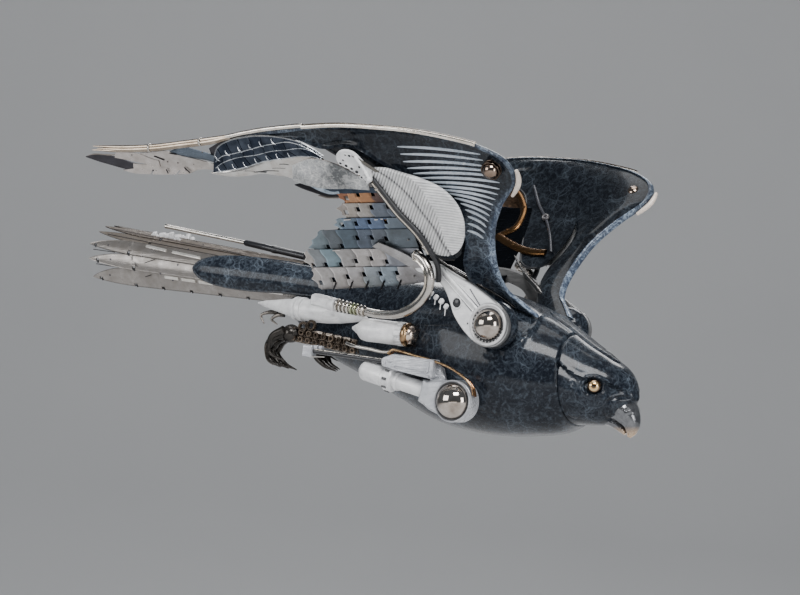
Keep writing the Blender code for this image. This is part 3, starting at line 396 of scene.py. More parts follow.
def make_marbling():
    """Veins and clouds for the enamel: the borders of warped cells, and slow noise."""
    group, come, go = new_group("marbling",
                                [("Vector", "NodeSocketVector", None),
                                 ("Scale", "NodeSocketFloat", 90.0),
                                 ("Warp", "NodeSocketFloat", 0.012)],
                                [("Veins", "NodeSocketFloat"), ("Clouds", "NodeSocketFloat"),
                                 ("Specks", "NodeSocketFloat")])
    vector = come.outputs["Vector"]
    scale = come.outputs["Scale"]
    noise = add(group, "ShaderNodeTexNoise", {"Vector": vector, "Scale": 120.0, "Detail": 4.0})
    offset = add(group, "ShaderNodeVectorMath", {0: noise.outputs["Color"], 1: (0.5, 0.5, 0.5)},
                 operation="SUBTRACT")
    shift = add(group, "ShaderNodeVectorMath",
                {0: offset.outputs[0], "Scale": come.outputs["Warp"]}, operation="SCALE")
    warped = add(group, "ShaderNodeVectorMath", {0: vector, 1: shift.outputs[0]}, operation="ADD")
    cells = add(group, "ShaderNodeTexVoronoi", {"Vector": warped.outputs[0], "Scale": scale},
                feature="DISTANCE_TO_EDGE")
    fine_scale = add(group, "ShaderNodeMath", {0: scale, 1: 2.3}, operation="MULTIPLY")
    fine = add(group, "ShaderNodeTexVoronoi",
               {"Vector": warped.outputs[0], "Scale": fine_scale.outputs[0]},
               feature="DISTANCE_TO_EDGE")
    clouds = add(group, "ShaderNodeTexNoise",
                 {"Vector": warped.outputs[0], "Scale": 34.0, "Detail": 5.0})
    wide = ramp(group, cells.outputs["Distance"], ((0.0, 1.0), (0.035, 0.3), (0.10, 0.0)))
    thin = ramp(group, fine.outputs["Distance"], ((0.0, 0.6), (0.04, 0.15), (0.09, 0.0)))
    both = add(group, "ShaderNodeMath", {0: wide, 1: thin}, operation="MAXIMUM")
    patch = ramp(group, clouds.outputs["Fac"], ((0.42, 0.06), (0.66, 1.0)))
    masked = add(group, "ShaderNodeMath", {0: both.outputs[0], 1: patch}, operation="MULTIPLY")
    mottle = add(group, "ShaderNodeTexNoise",
                 {"Vector": warped.outputs[0], "Scale": 330.0, "Detail": 4.0})
    grain = ramp(group, mottle.outputs["Fac"], ((0.48, 0.0), (0.72, 0.4)))
    veins = add(group, "ShaderNodeMath", {0: masked.outputs[0], 1: grain}, operation="MAXIMUM")
    specks = add(group, "ShaderNodeTexNoise", {"Vector": vector, "Scale": 900.0, "Detail": 2.0})
    group.links.new(veins.outputs[0], go.inputs["Veins"])
    group.links.new(patch, go.inputs["Clouds"])
    group.links.new(specks.outputs["Fac"], go.inputs["Specks"])
    return group


def make_handling():
    """Wear for bare metal: smudges, fine scratches along X and small pits."""
    group, come, go = new_group("handling",
                                [("Vector", "NodeSocketVector", None),
                                 ("Scale", "NodeSocketFloat", 1.0)],
                                [("Smudge", "NodeSocketFloat"), ("Scratch", "NodeSocketFloat"),
                                 ("Pits", "NodeSocketFloat")])
    vector = add(group, "ShaderNodeVectorMath",
                 {0: come.outputs["Vector"], "Scale": come.outputs["Scale"]},
                 operation="SCALE").outputs[0]
    smudge = add(group, "ShaderNodeTexNoise", {"Vector": vector, "Scale": 110.0, "Detail": 5.0,
                                               "Roughness": 0.6})
    stretch = add(group, "ShaderNodeVectorMath", {0: vector, 1: (60.0, 900.0, 700.0)},
                  operation="MULTIPLY")
    scratch = add(group, "ShaderNodeTexNoise",
                  {"Vector": stretch.outputs[0], "Scale": 1.0, "Detail": 3.0})
    pits = add(group, "ShaderNodeTexVoronoi", {"Vector": vector, "Scale": 700.0})
    group.links.new(ramp(group, smudge.outputs["Fac"], ((0.3, 0.0), (0.72, 1.0))),
                    go.inputs["Smudge"])
    group.links.new(ramp(group, scratch.outputs["Fac"], ((0.35, 0.0), (0.7, 1.0))),
                    go.inputs["Scratch"])
    group.links.new(ramp(group, pits.outputs["Distance"], ((0.0, 0.0), (0.3, 1.0))),
                    go.inputs["Pits"])
    return group


def start_material(name):
    """A material with its Principled shader and the object's own coordinates."""
    material = bpy.data.materials.new(name)
    material.use_nodes = True
    tree = material.node_tree
    shader = tree.nodes["Principled BSDF"]
    place = add(tree, "ShaderNodeTexCoord").outputs["Object"]
    return material, tree, shader, place


def put_group(tree, group, links):
    """A node group in a material, with its links."""
    return add(tree, "ShaderNodeGroup", links, node_tree=group).outputs


def put_bump(tree, shader, height, strength, distance):
    """Fine relief on the shader's normal."""
    bump = add(tree, "ShaderNodeBump", {"Height": height, "Strength": strength,
                                        "Distance": distance})
    tree.links.new(bump.outputs["Normal"], shader.inputs["Normal"])


def between(tree, fac, low, high):
    """A number from low to high as fac goes from 0 to 1."""
    return add(tree, "ShaderNodeMapRange", {"Value": fac, "To Min": low, "To Max": high}).outputs[0]


def marbled(name, group, deep, vein, cloud, scale, rough=(0.20, 0.36)):
    """Glossy enamel with veins, clouds and specks under a clear coat."""
    material, tree, shader, place = start_material(name)
    out = put_group(tree, group, {"Vector": place, "Scale": scale})
    ground = blend_colour(tree, out["Clouds"], deep, cloud)
    colour = blend_colour(tree, out["Veins"], ground, vein)
    # The tint attribute holds the piece's tones, and on some pieces painted highlights and painted
    # shade.
    tint = add(tree, "ShaderNodeAttribute", attribute_name="tint")
    colour = blend_colour(tree, 1.0, colour, tint.outputs["Color"], "MULTIPLY")
    tree.links.new(colour, shader.inputs["Base Color"])
    tree.links.new(between(tree, out["Specks"], *rough), shader.inputs["Roughness"])
    shader.inputs["Metallic"].default_value = 0.0
    shader.inputs["Specular IOR Level"].default_value = 0.08
    shader.inputs["Coat Weight"].default_value = 0.3
    shader.inputs["Coat Roughness"].default_value = 0.09
    put_bump(tree, shader, out["Veins"], 0.15, 0.0004)
    return material


def metal(name, group, colour, dark, rough=(0.12, 0.3), metallic=1.0, scale=1.0, relief=0.1,
          coat=0.0):
    """Bare metal, tinted by the piece's tint colours, some of them painted highlights and painted
    shade, with smudges, scratches and pits.
    """
    material, tree, shader, place = start_material(name)
    out = put_group(tree, group, {"Vector": place, "Scale": scale})
    tint = add(tree, "ShaderNodeAttribute", attribute_name="tint")
    base = blend_colour(tree, out["Smudge"], colour, dark)
    base = blend_colour(tree, 1.0, base, tint.outputs["Color"], "MULTIPLY")
    tree.links.new(base, shader.inputs["Base Color"])
    mix = add(tree, "ShaderNodeMath", {0: out["Smudge"], 1: out["Scratch"]},
              operation="ADD").outputs[0]
    half = add(tree, "ShaderNodeMath", {0: mix, 1: 0.5}, operation="MULTIPLY").outputs[0]
    tree.links.new(between(tree, half, *rough), shader.inputs["Roughness"])
    shader.inputs["Metallic"].default_value = metallic
    shader.inputs["Coat Weight"].default_value = coat
    height = add(tree, "ShaderNodeMath", {0: out["Scratch"], 1: out["Pits"]},
                 operation="ADD").outputs[0]
    put_bump(tree, shader, height, relief, 0.0003)
    return material


# Bare finishes: colour, smudged colour, roughness from and to, and what differs from bare metal
METALS = {
    "polished_ball": ((0.60, 0.55, 0.50), (0.30, 0.25, 0.21), (0.04, 0.12), {"relief": 0.02}),
    "bright_steel": ("steel", (0.40, 0.36, 0.31), (0.10, 0.26), {}),
    "blade_steel": ((0.53, 0.515, 0.505), (0.34, 0.32, 0.30), (0.24, 0.42),
                    {"metallic": 0.75, "relief": 0.14}),
    "blued_blade": ((0.20, 0.24, 0.29), (0.05, 0.065, 0.085), (0.14, 0.34), {"relief": 0.25}),
    "white_cast": ("cast", (0.56, 0.56, 0.57), (0.24, 0.42), {"metallic": 0.1, "relief": 0.2}),
    "grey_cast": ((0.56, 0.57, 0.59), (0.32, 0.33, 0.36), (0.22, 0.42),
                  {"metallic": 0.45, "relief": 0.2}),
    "bronze": ("bronze", (0.24, 0.14, 0.08), (0.14, 0.34), {}),
    "dark_rod": ((0.022, 0.023, 0.027), (0.012, 0.012, 0.014), (0.22, 0.42),
                 {"metallic": 0.3, "coat": 0.3}),
    "dark_iron": ((0.052, 0.046, 0.041), (0.014, 0.013, 0.012), (0.14, 0.34),
                  {"metallic": 0.7, "relief": 0.12}),
}


def make_materials(colours):
    """Every finish of the bird, by name; a colour given as a word comes from the user's colours."""
    marbling, handling = make_marbling(), make_handling()
    finishes = {"marbled_enamel": marbled("marbled enamel", marbling, colours.enamel[:],
                                          colours.veins[:], (0.0095, 0.0125, 0.0185), 88.0)}
    for name, (colour, dark, rough, settings) in METALS.items():
        colour = getattr(colours, colour)[:] if isinstance(colour, str) else colour
        finishes[name] = metal(name.replace("_", " "), handling, colour, dark, rough, **settings)
    finishes["beaten_steel"] = marbled("beaten steel", marbling, (0.07, 0.075, 0.08),
                                       (0.80, 0.79, 0.76), (0.45, 0.46, 0.47), 150.0, (0.2, 0.4))
    finishes["rib_enamel"] = marbled("rib enamel", marbling, (0.50, 0.55, 0.62), (0.85, 0.88, 0.90),
                                     (0.30, 0.36, 0.44), 260.0, (0.16, 0.3))
    finishes["eye_gold"] = make_eye_gold(handling)
    finishes["bill"] = make_bill_finish(handling)
    return finishes


def make_eye_gold(handling):
    """Gold iris with a dark pupil and rim: rings round the point that looks out and ahead, which is
    the same on both sides because Y is taken without its sign."""
    material, tree, shader, place = start_material("eye gold")
    split = add(tree, "ShaderNodeSeparateXYZ", {"Vector": place})
    level = add(tree, "ShaderNodeMath", {0: split.outputs["Y"]}, operation="ABSOLUTE").outputs[0]
    folded = add(tree, "ShaderNodeCombineXYZ",
                 {"X": split.outputs["X"], "Y": level, "Z": split.outputs["Z"]})
    look = (0.1432, 0.0288, -0.0890)
    far = add(tree, "ShaderNodeVectorMath", {0: folded.outputs[0], 1: look}, operation="DISTANCE")
    ring = add(tree, "ShaderNodeMath", {0: far.outputs["Value"], 1: 185.0},
               operation="MULTIPLY").outputs[0]
    colour = ramp(tree, ring, ((0.0, (0.004, 0.003, 0.002)), (0.30, (0.01, 0.006, 0.003)),
                               (0.36, (0.62, 0.36, 0.12)), (0.60, (0.80, 0.62, 0.36)),
                               (0.78, (0.20, 0.10, 0.03)), (0.86, (0.01, 0.008, 0.006))))
    out = put_group(tree, handling, {"Vector": place, "Scale": 2.0})
    colour = blend_colour(tree, between(tree, out["Scratch"], 0.0, 0.25), colour,
                          (0.35, 0.18, 0.05))
    tree.links.new(colour, shader.inputs["Base Color"])
    tree.links.new(between(tree, out["Smudge"], 0.08, 0.2), shader.inputs["Roughness"])
    shader.inputs["Metallic"].default_value = 0.75
    shader.inputs["Coat Weight"].default_value = 1.0
    shader.inputs["Coat Roughness"].default_value = 0.03
    return material


def make_bill_finish(handling):
    """Dark polished steel that turns to horn at the tip: a ramp on the height."""
    material, tree, shader, place = start_material("bill")
    split = add(tree, "ShaderNodeSeparateXYZ", {"Vector": place})
    down = add(tree, "ShaderNodeMapRange", {"Value": split.outputs["Z"], "From Min": -0.119,
            "From Max": -0.1255})
    out = put_group(tree, handling, {"Vector": place, "Scale": 1.5})
    steel = blend_colour(tree, out["Smudge"], (0.20, 0.205, 0.215), (0.07, 0.072, 0.08))
    horn = blend_colour(tree, out["Scratch"], (0.62, 0.47, 0.33), (0.42, 0.28, 0.17))
    tree.links.new(blend_colour(tree, down.outputs[0], steel, horn), shader.inputs["Base Color"])
    tree.links.new(between(tree, out["Scratch"], 0.1, 0.28), shader.inputs["Roughness"])
    shader.inputs["Metallic"].default_value = 0.7
    shader.inputs["Coat Weight"].default_value = 0.6
    put_bump(tree, shader, out["Scratch"], 0.12, 0.0003)
    return material


# Body, head and bill

def body_points(x, turn):
    """The body's skin: at each X an oval of power 2.3 between the back, belly and flank lines."""
    top, bottom, half = smooth_line(BACK, x), smooth_line(BELLY, x), smooth_line(FLANK, x)
    power = 2 / SECTION_POWER
    across = half * np.sign(np.cos(turn)) * np.abs(np.cos(turn)) ** power
    up = (top - bottom) / 2 * np.sign(np.sin(turn)) * np.abs(np.sin(turn)) ** power
    return np.stack(np.broadcast_arrays(x, across, (top + bottom) / 2 + up), -1)


def even_turns(count):
    """Angles round the body, gathered near the flanks where the oval's sides run straight."""
    turn = np.linspace(0, 2 * math.pi, count, endpoint=False)
    return turn + 0.12 * np.sin(2 * turn)


# The body's groove, its pad's profile, the stations beside the neck seam, and the crown's rivets
FLANK_GROOVE = ((-130, -8), (-60, -40), (0, -78), (40, -102), (80, -112), (115, -100))
PAD = ((0, -9), (7.2, -9), (8, -8.4), (8, -0.5), (7.5, 0), (0, 0))
NECK_STEPS = np.array((0.15, 0.3, 0.5, 0.8, 1.2, 1.8))
NECK_DEPTH, NECK_WIDTH = 1.0, 1.4
RIM_RADIUS = 20.5
CROWN_RIVETS = ((99, -36.5), (113, -45.4), (127, -55.6), (139, -64.0))


def build_body(sizes):
    """The body's shell: its oval skin swelled by bells for the flank's groove and the shoulder's
    rim and by a step at the neck, and the hanging pad as a turned profile."""
    x = np.concatenate([np.linspace(-172, -130, 30), np.linspace(-128, NECK_X - 2.4, 150),
                        NECK_X - NECK_STEPS[::-1]])
    points = body_points(x[:, None], even_turns(144)[None])
    px, pz = points[..., 0], points[..., 2]
    sides = step(8, 22, np.abs(points[..., 1]))
    groove = (-0.8 * bell(pz - smooth_line(FLANK_GROOVE, px), sizes.seam_width / MM) * sides
              * step(-128, -110, px) * (1 - step(96, 110, px)))
    neck = -NECK_DEPTH * step(NECK_X - NECK_WIDTH, NECK_X, px)
    ahead, above = px - SHOULDER[0], pz - SHOULDER[2]
    rim = (1.6 * bell(np.hypot(ahead, above) - RIM_RADIUS, 1.5) * sides
           * step(-0.2, 0.5, ahead / RIM_RADIUS - above / RIM_RADIUS * 0.9))
    shell = sheet(swell(points, -(groove + neck + rim)), wrap=True, caps=True)
    pad = turned(PAD, (0, 0, 0), UP, 40)
    make_piece("body_skin", pool([shell, pad]), "marbled_enamel", "body_shell")


def build_head():
    """The head: the same skin in front of the neck seam, swelled by bells for the ledge over the
    eye, the eye's socket, the crescent behind it, the cheek's ring and the groove at the bill's
    root."""
    x = np.concatenate([NECK_X + NECK_STEPS, np.linspace(NECK_X + 2.4, 158, 90),
                        158 + 6.3 * np.sin(np.linspace(0.06, math.pi / 2, 22))])
    points = body_points(x[:, None], even_turns(220)[None])
    px, pz = points[..., 0], points[..., 2]
    sides = step(5, 12, np.abs(points[..., 1]))
    under = smooth_line(BROW, px) - pz
    ledge = (-2.9 * step(0, 1.1, under) * bell(np.maximum(under, 0), 9)
             + 0.7 * bell(under, 1.8) * (under < 0))
    far = np.hypot(px - EYE[0], pz - EYE[2])
    socket = 0.9 * bell(far - 7.4, 1.0) - 3.0 * (1 - step(5.2, 6.6, far))
    crescent = (1.1 * bell(np.hypot(px - 143, pz + 87) - 15.5, 1.3) * step(0, 5, 134 - px)
                * step(0, 3, -84 - pz) * step(-99, -95, pz))
    cheek = -0.35 * bell(np.hypot(px - 123.3, pz + 109) - 4.6, 0.6)
    root = -1.2 * bell(np.hypot(px - 160.0, pz + 112.0) - 14.5, 1.2) * (px > 140)
    relief = ledge * (1 - step(155, 166, px) * 0.6) + socket + crescent + cheek + root
    neck = -NECK_DEPTH * (1 - step(NECK_X, NECK_X + NECK_WIDTH, px))
    shape = sheet(swell(points, -(relief * sides + neck)), wrap=True, caps=True)
    make_piece("head_skin", shape, "marbled_enamel", "head_shell")


def build_crown(sizes):
    """The crown plate: a strip over the nape's ridge whose half width is a blunt sine, 1.3 mm
    proud, with a groove 2 mm inside its edge and four pairs of rivets."""
    u, v = np.linspace(0, 1, 70)[:, None], np.linspace(-1, 1, 25)[None]
    x = 90 + 60 * u
    half = np.maximum(8.5 * np.sin(math.pi * np.clip(u, 0.001, 0.999) ** 0.8) ** 0.4, 0.3)
    across = v * half
    top, bottom = smooth_line(BACK, x), smooth_line(BELLY, x)
    share = np.clip(np.abs(across) / smooth_line(FLANK, x), 0, 0.999)
    rise = (1 - share ** SECTION_POWER) ** (1 / SECTION_POWER)
    level = (top + bottom) / 2 + (top - bottom) / 2 * rise
    edge = np.minimum(1 - np.abs(v), 1.0) * half
    proud = 1.3 * step(-0.2, 1.1, edge) - 0.6 * bell(edge - 2.0, 0.35)
    points = np.stack(np.broadcast_arrays(x, across, level + proud), -1)
    low = np.stack(np.broadcast_arrays(x, across, level - 1.0), -1)
    strip = sheet(np.concatenate([points, low[:, ::-1]], 1), wrap=True, caps=True)
    rivets = [ball((x, side * 5.6, z), sizes.rivet_radius / MM, 14, UP)
              for x, z in CROWN_RIVETS for side in (1, -1)]
    make_piece("crown_strip", pool([strip] + rivets), "marbled_enamel", "crown_plate")


def bill_points(stations, rows, turn):
    """A bill's skin: ovals square to its middle line, smooth from station to station."""
    stations = np.array(stations, float)
    far = np.concatenate([[0], np.cumsum(np.hypot(*np.diff(stations[:, :2], axis=0).T))])
    at = far[-1] * np.sin(np.linspace(0, math.pi / 2, rows))
    x, z, high, wide = [smooth_line(np.stack([far, column], 1), at)[:, None]
                        for column in stations.T]
    run_x, run_z = np.gradient(x, axis=0), np.gradient(z, axis=0)
    size = np.hypot(run_x, run_z)
    sin, cos = np.sin(turn)[None], np.cos(turn)[None]
    return np.stack(np.broadcast_arrays(x - run_z / size * high * sin, wide * cos,
                                        z + run_x / size * high * sin), -1)


def build_bill():
    """The hooked upper bill, swelled by bells for its nostrils and raised cutting edge, the lower
    bill and the eyes as spheres."""
    turn = np.linspace(0, 2 * math.pi, 64, endpoint=False)
    points = bill_points(UPPER_BILL, 80, turn)
    low = -np.sin(turn)[None] + 0 * points[..., 0]
    edge = 0.7 * bell(low - 0.62, 0.10) - 0.5 * bell(low - 0.42, 0.10)
    px, pz = points[..., 0], points[..., 2]
    nostril = np.hypot(px - 160.2, pz + 107.2)
    hole = 0.7 * bell(nostril - 2.4, 0.6) - 1.6 * (1 - step(1.0, 2.0, nostril))
    cere = -0.5 * bell(pz + 110.6 - (px - 150) * 0.10, 0.5) * (px > 146)
    points = swell(points, -(edge + (hole + cere) * step(0.3, 0.6, np.abs(np.cos(turn)))[None]))
    upper = sheet(points, wrap=True, caps=True)
    make_piece("bill_upper", upper, "bill", "beak_upper")
    lower = sheet(bill_points(LOWER_BILL, 30, turn), wrap=True, caps=True)
    make_piece("bill_lower", lower, "bill", "beak_lower")
    for side, name in ((1, "right"), (-1, "left")):
        centre = np.array(EYE) * (1, side, 1)
        make_piece(f"eye_ball_{name}", ball(centre, 5.6, 48), "eye_gold", f"eye_{name}")


# Wings

def wing_at(along, up, out=0.0):
    """A place on the right wing: along and up in its plane, out towards its underside, and the lean
    that grows below the wrist."""
    along, up, out = [np.asarray(n, float) for n in np.broadcast_arrays(along, up, out)]
    lean = smooth_line(LEAN, up)
    return (WRIST + along[..., None] * ALONG + up[..., None] * UPWARD + out[..., None] * OUTWARD
            + lean[..., None] * LEAN_WAY)


def wing_bar(line, count, out, radius, sides, flat=1.0, tint=None):
    """A bar along a smooth curve through places of the wing's plane."""
    spots = flow(line, count)
    return bar(wing_at(spots[:, 0], spots[:, 1], out), radius, sides, OUTWARD, flat, tint)


def shell_edges(station):
    """The shell's outer and inner edges at a station, as smooth curves through its table."""
    count = np.arange(len(SHELL_EDGES), dtype=float)
    table = np.array(SHELL_EDGES, float)
    values = [smooth_line(np.stack([count, column], 1), station) for column in table.T]
    return np.stack(values[:2], -1), np.stack(values[2:], -1)


def shell_belly(width, across):
    """How far the shell arches towards the wing's back: a sine, 0.16 of its width or 5 mm deep."""
    return -np.minimum(5, 0.16 * width) * np.sin(math.pi * across) ** 0.7


def shell_at(station, across, out):
    """A place on the shell: across is 0 at the outer edge and 1 at the inner, out is added to the
    belly, which is a sine arch towards the wing's back."""
    outer, inner = shell_edges(station)
    width = np.linalg.norm(inner - outer, axis=-1)
    spot = outer + (inner - outer) * across[..., None]
    return wing_at(spot[..., 0], spot[..., 1], shell_belly(width, np.clip(across, 0, 1)) + out)


# Rows of the wing skin along its stations, and the columns of its three faces
SKIN_ROWS, LAST_STATION = 320, 15
UNDER_COLUMNS, ROLL_COLUMNS, BACK_COLUMNS = 64, 16, 26
SKIN_RISE = 0.7


def build_wing_skins(sizes):
    """Curved skins with a rolled leading edge and a bead on the inner edge: an underside, half a
    circle round the outer edge and a back, and the wrist's ball between two rings."""
    edge = sizes.rolled_edge / MM
    station = np.linspace(0, LAST_STATION, SKIN_ROWS)[:, None]
    outer, inner = shell_edges(station[:, 0])
    width = np.linalg.norm(inner - outer, axis=1)[:, None]
    roll = np.minimum(edge, 0.3 * width)
    lap = roll / width * 1.7
    under = lap + (1 - lap) * np.linspace(1, 0, UNDER_COLUMNS)[None] ** 1.15
    thick = SKIN_RISE * np.minimum(1, width / 8)
    below = shell_at(station, under, thick + 0.9 * bell((1 - under) * width, 1.3))
    phase = np.linspace(math.radians(70), math.radians(290), ROLL_COLUMNS)[None]
    rolled = shell_at(station, (roll + roll * np.cos(phase)) / width, roll * np.sin(phase))
    above = lap + (1 - lap) * np.linspace(0, 1, BACK_COLUMNS)[None] ** 1.1
    back = shell_at(station, above, -thick + 0 * above)
    foot = 1 - step(4.6, 6.2, station)
    near = (under - lap) * width
    # The back face is painted at half brightness, a painted shade.
    tint = np.full((SKIN_ROWS, UNDER_COLUMNS + ROLL_COLUMNS + BACK_COLUMNS, 3), 0.5)
    # The underside is lighter near the wing's root: partly lighter mottling, and a painted
    # highlight that grows strong towards the rolled edge.
    mottle_and_painted_highlight = 0.8 + foot * (0.8 + 1.6 * bell(near, 9) + 5.0 * bell(near, 2.6))
    tint[:, :UNDER_COLUMNS] = mottle_and_painted_highlight[..., None]
    # The rolled edge is painted three times brighter, and over six times at the root, a painted
    # highlight.
    tint[:, UNDER_COLUMNS:-BACK_COLUMNS] = 3.0 + 3.4 * foot[..., None]
    skin = sheet(np.concatenate([below, rolled, back], 1), wrap=True, caps=True, tint=tint)
    make_pair("wing_skin", skin, "marbled_enamel", "wing_shell")
    wrist = wing_at(0, 0)
    brown = np.array((0.62, 0.52, 0.46))
    shape = pool([ball(wrist, 6.3, 48, OUTWARD, brown)]
                 + [hoop(wrist + OUTWARD * out, OUTWARD, 7.0, 0.7, 48, tint=brown * 0.25)
                    for out in (1.2, -2.2)])
    make_pair("wrist_bearing", shape, "polished_ball", "wrist_ball")


RIBS = 16
RIB_STARTS = ((-74.0, 22.5), (-70.5, 4.5), (-57.0, -8.2), (-40.7, -20.9), (-34.3, -30.9),
              (-33.2, -37.2), (-36.8, -51.1))
RIB_ENDS = ((-6.0, 12.7), (-5.4, 2.1), (2.0, -9.4), (0.1, -17.9), (-8.9, -30.5), (-21.1, -50.1),
            (-27.0, -60.5))


def build_ribs(sizes):
    """Sixteen ribs on each skin's underside: straight runs between two curves, at the height of the
    nearest place on the skin, smoothed over nine places, with radii that follow a blunt sine."""
    starts, ends = flow(RIB_STARTS, RIBS), flow(RIB_ENDS, RIBS)
    station, across = np.linspace(0, LAST_STATION, 260)[:, None], np.linspace(0, 1, 40)[None]
    outer, inner = shell_edges(station[:, 0])
    width = np.linalg.norm(inner - outer, axis=1)[:, None]
    flat = (outer[:, None] + (inner - outer)[:, None] * across[..., None]).reshape(-1, 2)
    height = (SKIN_RISE + shell_belly(width, across)).ravel()
    share = np.linspace(0, 1, 40)
    shapes = []
    for start, end in zip(starts, ends):
        path = (start + (end - start) * share[:, None]
                + np.stack([0 * share, 0.9 * np.sin(math.pi * share)], 1))
        far = np.linalg.norm(flat[None] - path[:, None], axis=2)
        under = np.convolve(np.pad(height[np.argmin(far, axis=1)], 4, "edge"), np.full(9, 1 / 9),
                            "valid")
        radius = sizes.rib_height / MM * np.sin(math.pi * np.clip(share, 0.01, 0.99)) ** 0.35
        shapes.append(bar(wing_at(path[:, 0], path[:, 1], under), radius, 10, OUTWARD, 0.85))
    make_pair("wing_ribs", shapes, "rib_enamel")


def build_back_panel():
    """The dark panel that carries the skin on behind the grooved plate and the link, with a hem rod
    along its free edge."""
    aft = ((-137, 28), (-126, 19), (-114, 11), (-105, 3), (-99.5, -8), (-93.5, -24), (-86.5, -42),
           (-80.5, -58), (-75.5, -70), (-67, -76), (-57, -77))
    fore = ((-137, 31), (-117, 31), (-104, 27), (-91, 17), (-77, 6), (-59, -6), (-47, -20),
            (-41, -36), (-42, -52), (-46, -64), (-50, -73))
    panel = leaf(wing_at, flow(aft, 60), flow(fore, 60), -2.2, 0.9, 0.8, 0.0, np.full(3, 0.55), 0.8)
    make_pair("wing_back_panel", panel, "marbled_enamel")
    rod = wing_bar(aft, 60, -2.2, 1.1, 12)
    make_pair("wing_back_hem", rod, "dark_rod")


RING_LINE = ((-129.8, 8.8), (-117.5, 7.9), (-105.1, -3.8), (-98, -17.2), (-99.5, -34),
             (-109.4, -40.1))
YOKE_LINE = ((-112, -41), (-96, -50), (-78, -58), (-64, -61.5), (-55, -62))
POST_LINE = ((-99, 12), (-84.9, -10.5), (-72.6, -25.2), (-56.2, -49.6), (-50, -62))
STAY_LINE = ((-84, -64), (-72, -77), (-59.2, -89.1), (-49, -97), (-41.6, -103), (-30, -112),
             (-20, -123))


def build_wing_backs():
    """The works on the wings' upper side: a bronze ring with its yoke, a dark post and a stay that
    runs down to the back, each an oval bar along a curve in the wing's plane."""
    bronze = (0.42, 0.34, 0.26)
    shapes = [wing_bar(RING_LINE, 50, -3.5, 3.2, 14, 0.45, bronze),
              wing_bar(YOKE_LINE, 50, -3.7, 3.4, 14, 0.45, bronze)]
    shapes += [screw(wing_at(a, u, -4.9), -OUTWARD, 1.3, (0.8, 0.75, 0.7)) for a, u in
               ((-99, -12), (-104, -36), (-90, -52.5), (-60, -61))]
    make_pair("wing_back_ring", shapes, "bronze")
    shapes = [wing_bar(POST_LINE, 50, -3.4, 1.2, 10, tint=(2.2, 2.2, 2.3)),
              hoop(wing_at(-73, -24, -4.2), OUTWARD, 2.2, 1.1, 24, 1.6, (7.0, 6.4, 5.6))]
    make_pair("wing_back_post", shapes, "dark_rod")
    swells = np.interp(np.linspace(0, 1, 60), (0, 0.3, 0.36, 0.62, 0.68, 1),
                       (0.8, 0.9, 2.3, 2.5, 1.3, 1.2))
    stay = wing_bar(STAY_LINE, 60, -3.4, swells, 14, tint=(0.34, 0.35, 0.37))
    make_pair("wing_back_stay", stay, "bright_steel")


def beside_shell(station, radius):
    """The middle of a bar that runs outside the shell's outer edge."""
    station = np.asarray(station, float)
    here, inner = shell_edges(station)
    run = unit(shell_edges(station + 0.05)[0] - shell_edges(station - 0.05)[0])
    out = np.stack([run[..., 1], -run[..., 0]], -1)
    out *= -np.sign(np.sum(out * (inner - here), -1, keepdims=True))
    spot = here + out * (radius + GAP)
    return wing_at(spot[..., 0], spot[..., 1])


def build_rails():
    """The leading edge's trim, bars set off from the skin's edge by their own radius: a flat strip,
    a thicker bright tube, four frayed rods beyond it and a pale tab on the same edge."""
    # bright paints the strip and the tube brighter than the steel, a painted highlight along the
    # leading edge.
    bright, brown = np.array((1.35, 1.33, 1.3)), np.array((0.66, 0.58, 0.50))
    strip = bar(beside_shell(np.linspace(8.2, 12.98, 70), 0.3) + OUTWARD * 0.9, 1.7, 16, OUTWARD,
                0.75, tint=bright * 1.15)
    crest = bar(beside_shell(np.linspace(8.2, 12.98, 70), 1.8), 0.5, 8, OUTWARD, tint=brown * 0.6)
    edge = np.concatenate([beside_shell(np.linspace(12.95, 14.9, 30), 1.3),
                           wing_at((-212.0, -218.0), (43.6, 43.0))])
    tube = bar(edge, np.interp(np.arange(32), (0, 1, 30, 31), (1.5, 1.85, 1.85, 1.6)), 16, OUTWARD,
               tint=bright)
    rods = []
    for lift, out, tip in ((0.6, 0.0, -345), (-0.9, 1.2, -341), (-2.5, 0.4, -347),
                           (-0.7, -1.0, -333)):
        start = wing_at(np.array((-214.0,)), np.array((43.0,)) + lift * 0.4)
        bend = wing_at(np.array((-232, -259, -290, -320, tip)),
                       np.array((41.5, 40, 38.6, 39.6, 42)) + lift, out)
        path = flow(np.concatenate([start, bend]), 60)
        shape = bar(path, np.interp(np.arange(60), (0, 50, 59), (1.5, 1.4, 0.35)), 10, OUTWARD,
                    tint=brown)
        rods.append(shape)
    clips = [hoop(wing_at(a, u), ALONG, 2.9, 0.5, 24, 0.9) for a, u in ((-243, 39.9), (-292, 37.7))]
    make_pair("wing_edge_trim", pool([strip, crest, tube] + rods + clips), "bright_steel",
              "wing_rail")
    path = beside_shell(np.linspace(5.5, 6.5, 30), 2.0)
    tab = bar(path, 2.1 * np.sin(np.linspace(0.35, math.pi - 0.35, 30)) ** 0.5, 16, OUTWARD,
              tint=(0.98, 0.85, 0.73))
    make_pair("wing_edge_tab", tab, "white_cast", "wing_tab")


# Feathers

ACROSS = np.array((0, 0.03, 0.09, 0.2, 0.35, 0.5, 0.65, 0.8, 0.91, 0.97, 1.0))


